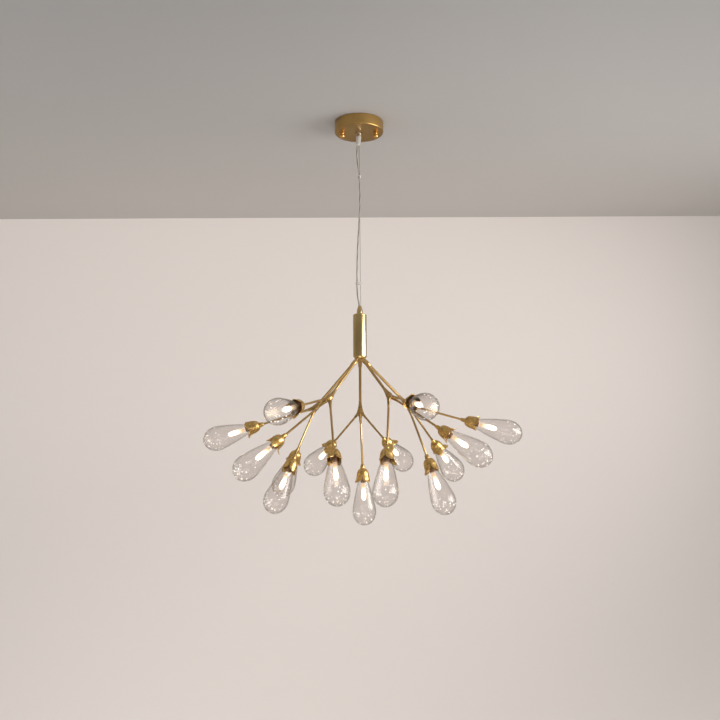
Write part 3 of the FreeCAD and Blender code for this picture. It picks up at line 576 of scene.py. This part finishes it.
def horn(origin, x_way, z_way, start, end, length, bow, columns=40):
    """A closed horn along z_way: its radius runs from start to end with a quadratic bow inwards."""
    t = np.linspace(0, 1, 24)
    radius = start + (end - start) * (t + bow * 4 * t * (1 - t))
    outline = np.concatenate([[(0.0, 0.0)], np.stack([radius, t * length], axis=-1), [(0.0, length)]])
    return lathe(outline, origin, x_way, z_way, columns, closed=False)


def web(origin, way_one, way_two, inner, outer, thick):
    """A lens between two limbs: for u across from one limb to the other and v out from the crotch, the
    point lies on the blend of the two directions at reach inner + (outer - inner) * v * (1 - notch), and
    each face lies thick * (1 - 0.75 * v * v) to its side. Returns the closed grid round its edge."""
    u = np.linspace(0, 1, 15)[None, :, None]
    v = np.linspace(0, 1, 13)[:, None, None]
    way = way_one * (1 - u) + way_two * u
    notch = 0.52 * np.sin(np.pi * u)
    reach = inner + (outer - inner) * v * (1 - notch)
    middle = origin + way * reach
    normal = np.cross(way_one, way_two)
    normal /= np.linalg.norm(normal)
    half = thick * (1 - 0.75 * v * v) * normal
    top = middle + half
    bottom = middle - half
    return np.concatenate([top, bottom[:, ::-1]], axis=1) * mm


def melted(name, grids, cell, rounds):
    """Pours closed grids together into one skin on a fine lattice and smooths it as filing does."""
    body = together(name, grids)
    pour = body.modifiers.new("pour", "REMESH")
    pour.mode = "VOXEL"
    pour.voxel_size = cell
    pour.use_smooth_shade = True
    filed = body.modifiers.new("filed", "SMOOTH")
    filed.factor = 0.5
    filed.iterations = rounds
    bpy.context.view_layer.update()
    seen = body.evaluated_get(bpy.context.evaluated_depsgraph_get())
    mesh = bpy.data.meshes.new_from_object(seen)
    mesh.name = name
    old = body.data
    body.modifiers.clear()
    body.data = mesh
    bpy.data.meshes.remove(old)
    smooth(mesh)
    return body


twig_outline = rounded([(2.5, 30, 0.1), (2.5, 136, 0.1), (1.7, 136, 0.1), (1.7, 30, 0.1)], steps=3)
ball_angle = np.linspace(-np.pi / 2, np.pi / 2, 17)
ball_outline = np.stack([7.7 * np.cos(ball_angle), 7.7 * np.sin(ball_angle)], axis=-1)
lattice = 0.55 * mm
lamps_on_arm = {}
for number, (across, along) in enumerate(arm_ways, start=1):
    centre = hub_centre + along * fork_reach
    side = np.cross(along, across)
    ways = []
    for index in range(3):
        angle = math.radians(arm_turns[number - 1] + 120 * index)
        lean = across * math.cos(angle) + side * math.sin(angle)
        ways.append(along * math.cos(twig_spread) + lean * math.sin(twig_spread))
    backs = [(along - way * along.dot(way)) / math.sin(twig_spread) for way in ways]
    grids = [horn(centre, across, -along, 7.6, 3.25, 34.0, 0.22)]
    grids += [horn(centre, back, way, 6.6, 2.5, 34.0, 0.2) for back, way in zip(backs, ways)]
    grids += [web(centre, one, two, 0.0, 24.0, 2.8) for one, two in zip(ways, ways[1:] + ways[:1])]
    grids.append(lathe(ball_outline, centre, across, along, 32, False))
    fork = melted("fork_casting_%d" % number, grids, lattice, 10)
    fork.data.materials.append(cast_gold)
    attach(fork, "arm_%d" % number)
    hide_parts("arm_fork_%d" % number)
    twigs = together("twig_skins_%d" % number, [
        lathe(twig_outline, centre, back, way, columns=32) for back, way in zip(backs, ways)
    ])
    twigs.data.materials.append(arm_gold)
    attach(twigs, "arm_%d" % number)
    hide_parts("arm_twigs_%d" % number)
    lamps_on_arm[number] = []
    for index, (back, way) in enumerate(zip(backs, ways)):
        spin = math.radians(18.0 + 33.0 * (index + number - 1))
        spun = back * math.cos(spin) + np.cross(way, back) * math.sin(spin)
        lamps_on_arm[number].append((centre + way * twig_reach, spun, way))

# ---------------------------------------------------------------------------------------------
# The cups. Each is spun and cut brass: a stepped ferrule soldered to the twig, a small bell, and four
# pointed petals bent out by hand, no two alike. Antique gold, polished on the high places.
# ---------------------------------------------------------------------------------------------
cup_gold = brass(
    "cup_gold", (0.52, 0.28, 0.06), (1.0, 0.73, 0.30), 0.34, cloud_scale=250.0, bump=0.9, spots=0.35,
)
petal_tips = (15.9, 19.2, 23.6, 17.4)
bell_end, bell_radius = 22.0, 14.1


def smooth_through(places, values, at):
    """A cubic through the given values, worked out at the wanted places (Catmull-Rom slopes)."""
    places, values = np.asarray(places, float), np.asarray(values, float)
    slope = np.gradient(values, places)
    cell = np.clip(np.searchsorted(places, at, side="right") - 1, 0, len(places) - 2)
    width = places[cell + 1] - places[cell]
    t = (at - places[cell]) / width
    return (
        (1 + 2 * t) * (1 - t) ** 2 * values[cell]
        + t * (1 - t) ** 2 * width * slope[cell]
        + t ** 2 * (3 - 2 * t) * values[cell + 1]
        + t ** 2 * (t - 1) * width * slope[cell + 1]
    )


def cup_sector(tip, centre_angle):
    """A quarter of the cup's outer skin in its own frame: rows climb from the ferrule's foot to the
    petal's point, and columns run across the petal. Up to the bell's end a row spans a quarter turn, and
    beyond it half the petal's width over the radius gives the row's half angle."""
    foot = np.array([
        (2.56, -1.0), (3.3, -1.0), (3.5, -0.8), (4.9, 5.6), (4.95, 6.0), (4.95, 7.7), (4.8, 8.0), (4.3, 8.1),
        (4.25, 8.5), (4.3, 8.9), (4.8, 9.0), (5.4, 9.1), (7.2, 9.9), (9.2, 11.2), (10.9, 13.2), (12.2, 15.8),
        (13.2, 18.6),
    ])
    bend = tip - bell_radius
    high = 41.6 - bend * 0.12
    t = np.linspace(0, 1, 30)
    height = bell_end + (high - bell_end) * (1 - (1 - t) ** 1.25)
    radius = smooth_through(
        [18.0, bell_end, 30.0, 36.0, high],
        [13.1, bell_radius, 14.7 + bend * 0.04, 15.4 + bend * 0.22, tip + 1.4],
        height,
    )
    half_width = smooth_through(
        [20.0, 22.5, 26.0, 30.0, 34.0, 37.0, 39.3, high],
        [9.9, 9.95, 9.9, 10.0, 9.4, 7.4, 4.2, 0.05],
        height,
    )
    half = np.concatenate([np.full(len(foot), np.pi / 4), np.arcsin(np.clip(half_width / radius, 0, 0.7071))])
    radius = np.concatenate([foot[:, 0], radius])
    height = np.concatenate([foot[:, 1], height])
    x = np.linspace(-1, 1, 25)
    angle = centre_angle + x[None, :] * half[:, None]
    cup_back = 0.6 * (np.clip((height - 30) / 17, 0, 1) ** 2)[:, None] * x[None, :] ** 2
    r = radius[:, None] - cup_back
    level = np.broadcast_to(height[:, None], r.shape)
    return np.stack([r * np.cos(angle), r * np.sin(angle), level], axis=-1)


def set_down(local, origin, x_way, z_way):
    """Moves a grid from a lamp's own frame into the room, in metres."""
    y_way = np.cross(z_way, x_way)
    return (origin + local[..., :1] * x_way + local[..., 1:2] * y_way + local[..., 2:3] * z_way) * mm


sectors = [cup_sector(tip, math.pi / 2 * index) for index, tip in enumerate(petal_tips)]
for number, places in lamps_on_arm.items():
    cups = together("petal_cups_%d" % number, [
        set_down(sector, *place) for place in places for sector in sectors
    ], around=False)
    wall = cups.modifiers.new("wall", "SOLIDIFY")
    wall.thickness = 0.9 * mm
    wall.offset = -1.0
    edge = cups.modifiers.new("edge", "BEVEL")
    edge.width = 0.25 * mm
    edge.segments = 2
    edge.limit_method = "ANGLE"
    edge.angle_limit = math.radians(50)
    cups.data.materials.append(cup_gold)
    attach(cups, "arm_%d" % number)
    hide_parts("calyx_cups_%d" % number)

# ---------------------------------------------------------------------------------------------
# The lamp holders and capsules. Brown heat-proof holders, bored for the pins, stand in the cups. Each
# takes a two-pin capsule of clear silicone over many small chips, which glows warm white.
# ---------------------------------------------------------------------------------------------
holder_brown = moulded("holder_brown", (0.22, 0.13, 0.07), (0.34, 0.21, 0.12), 0.45)
holder_outline = rounded([
    (1.6, 15, 0.1), (10.6, 15, 0.4), (10.6, 17, 0.4), (6.4, 17, 0.3), (6.4, 24, 0.3), (6.0, 25, 0.3),
    (6.0, 40.0, 0.3), (6.2, 43, 0.5), (1.6, 43, 0.2),
], steps=4)


def glowing():
    """The lit board: rows of chips burn brighter, and the foot is dimmer and more orange."""
    made, join, shader, add = finish_of("glowing_chips")
    place = add("ShaderNodeUVMap", uv_map="surface")
    parts = add("ShaderNodeSeparateXYZ")
    join(place.outputs[0], parts.inputs[0])
    chips = add("ShaderNodeMapping")
    chips.inputs["Scale"].default_value = (0.26, 10.0, 1.0)
    join(place.outputs[0], chips.inputs["Vector"])
    check = add("ShaderNodeTexBrick", Scale=1.0)
    check.inputs["Color1"].default_value = (1.0, 0.86, 0.66, 1.0)
    check.inputs["Color2"].default_value = (1.0, 0.88, 0.70, 1.0)
    check.inputs["Mortar"].default_value = (1.0, 0.74, 0.48, 1.0)
    check.inputs["Mortar Size"].default_value = 0.12
    check.inputs["Brick Width"].default_value = 1.0
    check.inputs["Row Height"].default_value = 1.0
    check.offset = 0.0
    join(chips.outputs[0], check.inputs["Vector"])
    foot = ramp(add, [
        (0.0, (0.07, 0.04, 0.022)), (0.4, (0.11, 0.088, 0.062)),
        (0.75, (0.4, 0.36, 0.3)), (1.0, (1.0, 1.0, 1.0)),
    ])
    reach = add("ShaderNodeMapRange")
    reach.inputs["From Max"].default_value = 24.0
    join(parts.outputs["X"], reach.inputs["Value"])
    join(reach.outputs[0], foot.inputs[0])
    both = add("ShaderNodeMix", data_type="RGBA", blend_type="MULTIPLY")
    both.inputs[0].default_value = 1.0
    join(check.outputs[0], both.inputs[6])
    join(foot.outputs[0], both.inputs[7])
    join(both.outputs[2], shader.inputs["Emission Color"])
    join(both.outputs[2], shader.inputs["Base Color"])
    shader.inputs["Emission Strength"].default_value = 10.0
    shader.inputs["Roughness"].default_value = 0.3
    return made


def soft_silicone():
    """The clear silicone over the chips: mostly see-through, and warm with the light inside it."""
    made, join, shader, add = finish_of("warm_silicone")
    where = add("ShaderNodeTexCoord")
    cloud = add("ShaderNodeTexNoise", Scale=260.0, Detail=3.0)
    join(where.outputs["Object"], cloud.inputs["Vector"])
    tone = ramp(add, [(0.3, (1.0, 0.70, 0.42)), (0.7, (1.0, 0.82, 0.58))])
    join(cloud.outputs[0], tone.inputs[0])
    join(tone.outputs[0], shader.inputs["Emission Color"])
    shader.inputs["Base Color"].default_value = (0.05, 0.045, 0.04, 1.0)
    shader.inputs["Emission Strength"].default_value = 1.3
    shader.inputs["Roughness"].default_value = 0.22
    shader.inputs["Alpha"].default_value = 0.22
    return made


def capsule_outline(radius, low, high, dome):
    """A capsule's side in (radius, height): flat at the low end, straight, and domed at the high end."""
    t = np.linspace(0, np.pi / 2, 12)
    return np.concatenate([
        [(0.0, low), (radius - 0.3, low), (radius, low + 0.3)],
        np.stack([np.full(16, radius), np.linspace(low + 1.0, high - dome - 0.2, 16)], axis=-1),
        np.stack([radius * np.cos(t), high - dome + dome * np.sin(t)], axis=-1),
    ])


capsule_seat = 43.2


def lamp_skin(name, places, outline, columns=36):
    """One turned skin for each lamp place, joined. The pattern on it runs in millimetres above the
    capsule's seat and in turns around it."""
    height = np.repeat(outline[:, 1:2] - capsule_seat, columns, axis=1)
    turn = np.repeat(np.arange(columns)[None] / columns, len(outline), axis=0)
    pattern = np.stack([height, turn], axis=-1)
    parts = [
        skin(name, lathe(outline, *place, columns=columns, closed=False), uv=pattern) for place in places
    ]
    for part in parts:
        close_points(part)
    whole = parts[0]
    with bpy.context.temp_override(
        active_object=whole, selected_editable_objects=parts, selected_objects=parts,
    ):
        bpy.ops.object.join()
    whole.name = name
    smooth(whole.data)
    return whole


glow = glowing()
silicone = soft_silicone()
board_foot, board_top = 46.4, 86.6
board_heights = np.linspace(board_foot, board_top, 40)
board_radii = smooth_through(
    [board_foot, 50.0, 58.0, 67.0, 76.0, 82.0, 85.4, board_top],
    [2.6, 3.2, 3.5, 4.8, 5.1, 4.0, 2.0, 0.0],
    board_heights,
)
board_outline = np.concatenate([
    [(0.0, board_foot)], np.stack([np.maximum(board_radii, 0), board_heights], axis=-1),
])
silicone_outline = np.concatenate([
    [(0.0, capsule_seat), (5.2, capsule_seat), (5.4, capsule_seat + 0.2), (5.4, 46.0)],
    capsule_outline(6.0, 46.2, 87.2, 4.6)[1:],
])
lamp_skins = (("chip_boards", board_outline, glow), ("capsule_skins", silicone_outline, silicone))
for number, places in lamps_on_arm.items():
    holders = together("lamp_holder_skins_%d" % number, [
        lathe(holder_outline, *place, columns=48) for place in places
    ])
    holders.data.materials.append(holder_brown)
    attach(holders, "arm_%d" % number)
    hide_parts("lamp_holders_%d" % number)
    for name, shape, finish in lamp_skins:
        capsules = lamp_skin("%s_%d" % (name, number), places, shape)
        capsules.data.materials.append(finish)
        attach(capsules, "arm_%d" % number)
        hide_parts("lamp_capsules_%d" % number)

# ---------------------------------------------------------------------------------------------
# The glass drops. Clear soda glass, free blown to one even wall, open at the neck that slips over the
# holder and drawn out to a full round belly. Small ripples and seeds stay in the wall, and painted glints
# shine on them.
# ---------------------------------------------------------------------------------------------


def blown_glass():
    """Clear glass: see-through when faced and greyer towards the rim, where the wall is seen along its
    length. One surface sends back 0.04 + 0.96 * facing ** 5 of the light, facing being 1 - |cosine|, and
    ripples a few millimetres wide break that reflection up. Seeds in the belly and fine drawn streaks are
    real flaws of the glass, but their shine is painted: near-white glints that glow by their own emission
    in place of the capsule's light caught in them."""
    made, join, shader, add = finish_of("blown_glass")
    tree = made.node_tree
    out = tree.nodes["Material Output"]
    place = add("ShaderNodeUVMap", uv_map="surface")
    drawn = add("ShaderNodeMapping")
    drawn.inputs["Scale"].default_value = (0.09, 17.0, 1.0)
    join(place.outputs[0], drawn.inputs["Vector"])
    ripple = add("ShaderNodeTexNoise", Scale=1.0, Detail=3.0, Roughness=0.6)
    join(drawn.outputs[0], ripple.inputs["Vector"])
    relief = add("ShaderNodeBump", Strength=0.8, Distance=0.0011)
    join(ripple.outputs[0], relief.inputs["Height"])
    clear = add("ShaderNodeBsdfTransparent")
    facing = add("ShaderNodeLayerWeight", Blend=0.5)
    tint = ramp(add, [
        (0.0, (0.962, 0.952, 0.948)), (0.72, (0.945, 0.935, 0.928)),
        (0.93, (0.885, 0.875, 0.858)), (1.0, (0.74, 0.73, 0.70)),
    ])
    join(facing.outputs["Facing"], tint.inputs[0])
    join(tint.outputs[0], clear.inputs["Color"])
    shine = add("ShaderNodeBsdfGlossy", Roughness=0.03)
    join(relief.outputs[0], shine.inputs["Normal"])
    steep = add("ShaderNodeMath", operation="POWER")
    steep.inputs[1].default_value = 5.0
    join(facing.outputs["Facing"], steep.inputs[0])
    sent_back = add("ShaderNodeMath", operation="MULTIPLY_ADD")
    sent_back.inputs[1].default_value = 0.96
    sent_back.inputs[2].default_value = 0.04
    join(steep.outputs[0], sent_back.inputs[0])
    blend = add("ShaderNodeMixShader")
    join(sent_back.outputs[0], blend.inputs[0])
    join(clear.outputs[0], blend.inputs[1])
    join(shine.outputs[0], blend.inputs[2])
    # Painted glints: dots in the lower belly and drawn streaks are made near-white and glow by their own
    # emission, standing in for the capsule's light caught in the glass's flaws.
    where = add("ShaderNodeTexCoord")
    cells = add("ShaderNodeTexVoronoi", Scale=105.0)
    join(where.outputs["Object"], cells.inputs["Vector"])
    seed_glint_dots = ramp(add, [(0.14, (1.0, 1.0, 1.0)), (0.19, (0.0, 0.0, 0.0))])
    join(cells.outputs["Distance"], seed_glint_dots.inputs[0])
    parts = add("ShaderNodeSeparateXYZ")
    join(place.outputs[0], parts.inputs[0])
    belly = add("ShaderNodeMapRange")
    belly.inputs["From Min"].default_value = 45.0
    belly.inputs["From Max"].default_value = 85.0
    belly.inputs["To Min"].default_value = 0.05
    belly.inputs["To Max"].default_value = 0.95
    join(parts.outputs["X"], belly.inputs["Value"])
    seed_glints = add("ShaderNodeMath", operation="MULTIPLY")
    join(seed_glint_dots.outputs[0], seed_glints.inputs[0])
    join(belly.outputs[0], seed_glints.inputs[1])
    combed = add("ShaderNodeMapping")
    combed.inputs["Scale"].default_value = (0.035, 30.0, 1.0)
    join(place.outputs[0], combed.inputs["Vector"])
    strand = add("ShaderNodeTexNoise", Scale=1.0, Detail=2.0, Roughness=0.5)
    join(combed.outputs[0], strand.inputs["Vector"])
    streak_glints = ramp(add, [(0.66, (0.0, 0.0, 0.0)), (0.80, (0.36, 0.36, 0.36))])
    join(strand.outputs[0], streak_glints.inputs[0])
    painted_glints = add("ShaderNodeMath", operation="MAXIMUM")
    join(seed_glints.outputs[0], painted_glints.inputs[0])
    join(streak_glints.outputs[0], painted_glints.inputs[1])
    # The glint shader: near-white with a weak glow of its own, a painted glint in place of the capsule's
    # light.
    shader.inputs["Base Color"].default_value = (0.97, 0.95, 0.92, 1.0)
    shader.inputs["Emission Color"].default_value = (1.0, 0.93, 0.84, 1.0)
    shader.inputs["Emission Strength"].default_value = 0.75
    shader.inputs["Roughness"].default_value = 0.15
    glint_mix = add("ShaderNodeMixShader")
    join(painted_glints.outputs[0], glint_mix.inputs[0])
    join(blend.outputs[0], glint_mix.inputs[1])
    join(shader.outputs[0], glint_mix.inputs[2])
    join(glint_mix.outputs[0], out.inputs["Surface"])
    return made


def drop_outline():
    """The drop's wall in (radius, height): the outer line comes down from the tip, over a belly that is a
    quarter ellipse, to the lip, and the inner line climbs back one wall's thickness inside it, square to
    the outer line's slope."""
    lip_height, widest, tip, wall = 17.0, 114.0, 148.0, 1.5
    neck = np.linspace(lip_height, widest, 30)
    neck_r = smooth_through(
        [lip_height, 30.5, 44.0, 60.1, 86.0, widest, 122.0],
        [10.9, 12.05, 14.0, 18.5, 24.5, 29.0, 28.6],
        neck,
    )
    turn = np.linspace(0, np.pi / 2, 26)[1:]
    belly_r = 29.0 * np.cos(turn)
    belly = widest + (tip - widest) * np.sin(turn)
    outer = np.concatenate([np.stack([neck_r, neck], -1), np.stack([belly_r, belly], -1)])
    way = np.gradient(outer, axis=0)
    way /= np.linalg.norm(way, axis=1, keepdims=True)
    inner = outer + wall * np.stack([-way[:, 1], way[:, 0]], axis=-1)
    inner[:, 0] = np.maximum(inner[:, 0], 0)
    inner[0] = (9.4, lip_height)
    inner[-1] = (0.0, tip - wall)
    lip = np.array([(10.6, 17.05), (10.15, 17.0), (9.7, 17.05)])
    return np.concatenate([outer[::-1], lip, inner])


glass = blown_glass()
outline = drop_outline()
for number, places in lamps_on_arm.items():
    drops = lamp_skin("glass_drops_%d" % number, places, outline, columns=72)
    drops.data.materials.append(glass)
    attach(drops, "arm_%d" % number)
    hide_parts("glass_shades_%d" % number)

# ---------------------------------------------------------------------------------------------
# The room and its light: a pale ceiling, wall and floor seen only from inside, and large soft lamps. The
# ceiling carries painted shade, darker towards the front and lighter by the wall. The wall, the floor and
# two of the lamps don't show in polished metal, which keeps its dark tones.
# ---------------------------------------------------------------------------------------------
top, back, low, far = 0.0006, 0.72, -2.6, 6


def room_face(name, corners, front_shade_tone, back_shade_tone):
    """A plain painted face of the room. Its tone carries painted shade: it runs from the front tone to the
    back tone over the last 1.6 m before the wall, which leaves the ceiling darker towards the front, and a
    faint cloud lies in it. Its back lets light and sight through."""
    mesh = bpy.data.meshes.new(name)
    mesh.from_pydata(corners, [], [(0, 1, 2, 3)])
    piece = put(name, mesh)
    made, join, shader, add = finish_of(name + "_paint")
    where = add("ShaderNodeTexCoord")
    cloud = add("ShaderNodeTexNoise", Scale=1.2, Detail=2.0)
    join(where.outputs["Object"], cloud.inputs["Vector"])
    parts = add("ShaderNodeSeparateXYZ")
    join(where.outputs["Object"], parts.inputs[0])
    # Painted shade: the tone follows the distance to the wall.
    shade_by_depth = add("ShaderNodeMapRange")
    shade_by_depth.inputs["From Min"].default_value = -0.9
    shade_by_depth.inputs["From Max"].default_value = back
    join(parts.outputs["Y"], shade_by_depth.inputs["Value"])
    both = add("ShaderNodeMath", operation="MULTIPLY_ADD")
    both.inputs[1].default_value = 0.15
    join(cloud.outputs[0], both.inputs[0])
    join(shade_by_depth.outputs[0], both.inputs[2])
    tone = ramp(add, [(0.08, front_shade_tone), (1.0, back_shade_tone)])
    join(both.outputs[0], tone.inputs[0])
    join(tone.outputs[0], shader.inputs["Base Color"])
    shader.inputs["Roughness"].default_value = 0.9
    shader.inputs["Specular IOR Level"].default_value = 0.1
    side = add("ShaderNodeNewGeometry")
    clear = add("ShaderNodeBsdfTransparent")
    blend = add("ShaderNodeMixShader")
    join(side.outputs["Backfacing"], blend.inputs[0])
    join(shader.outputs[0], blend.inputs[1])
    join(clear.outputs[0], blend.inputs[2])
    join(blend.outputs[0], made.node_tree.nodes["Material Output"].inputs["Surface"])
    mesh.materials.append(made)


# The ceiling's painted shade: a darker grey in front, a lighter tone by the wall.
room_face("ceiling", [(-far, -far, top), (-far, back, top), (far, back, top), (far, -far, top)],
          (0.330, 0.332, 0.340), (0.520, 0.502, 0.484))
room_face("wall", [(-far, back, low), (far, back, low), (far, back, top), (-far, back, top)],
          (0.76, 0.715, 0.69), (0.775, 0.725, 0.70))
room_face("floor", [(-far, -far, low), (far, -far, low), (far, back, low), (-far, back, low)],
          (0.74, 0.72, 0.69), (0.74, 0.72, 0.69))


def soft_box(name, place, aim, size, power, colour, spread=180):
    """A large soft lamp at a place, turned to aim, with its light kept within the spread in degrees."""
    lamp = bpy.data.lights.new(name, "AREA")
    lamp.shape = "RECTANGLE"
    lamp.size, lamp.size_y = size
    lamp.energy = power
    lamp.color = colour
    lamp.spread = math.radians(spread)
    holder = put(name, lamp)
    holder.location = place
    holder.rotation_euler = (Vector(aim) - Vector(place)).to_track_quat("-Z", "Y").to_euler()


soft_box("key", (1.45, -0.68, -0.46), (0, -0.38, -0.48), (1.8, 0.85), 14, (1.0, 0.97, 0.93), 100)
soft_box("fill", (-1.45, -0.85, -0.5), (0, 0, -0.5), (1.2, 0.85), 4, (1.0, 0.96, 0.92))
soft_box("low", (0.3, -2.6, -2.3), (0, 0.3, -0.5), (2.4, 1.2), 14, (1.0, 0.96, 0.92))
soft_box("wash", (0.2, 0.1, -2.2), (0.2, 0.6, 0), (3.2, 0.5), 9, (1.0, 0.95, 0.90))

# Open room: pale for what it lights and for the eye, and dim where polished metal mirrors it.
world = bpy.data.worlds.new("soft_room")
bpy.context.scene.world = world
world.use_nodes = True
air = world.node_tree
pale = air.nodes["Background"]
pale.inputs["Color"].default_value = (0.88, 0.875, 0.87, 1.0)
pale.inputs["Strength"].default_value = 1.07
dim = air.nodes.new("ShaderNodeBackground")
dim.inputs["Color"].default_value = (0.46, 0.40, 0.34, 1.0)
dim.inputs["Strength"].default_value = 0.75
kind_of_ray = air.nodes.new("ShaderNodeLightPath")
either = air.nodes.new("ShaderNodeMixShader")
air.links.new(kind_of_ray.outputs["Is Glossy Ray"], either.inputs[0])
air.links.new(pale.outputs[0], either.inputs[1])
air.links.new(dim.outputs[0], either.inputs[2])
air.links.new(either.outputs[0], air.nodes["World Output"].inputs["Surface"])
for dull in ("wall", "floor", "fill", "wash"):
    bpy.data.objects[dull].visible_glossy = False
bpy.context.scene.cycles.transparent_max_bounces = 32
bpy.context.scene.view_settings.view_transform = "Standard"
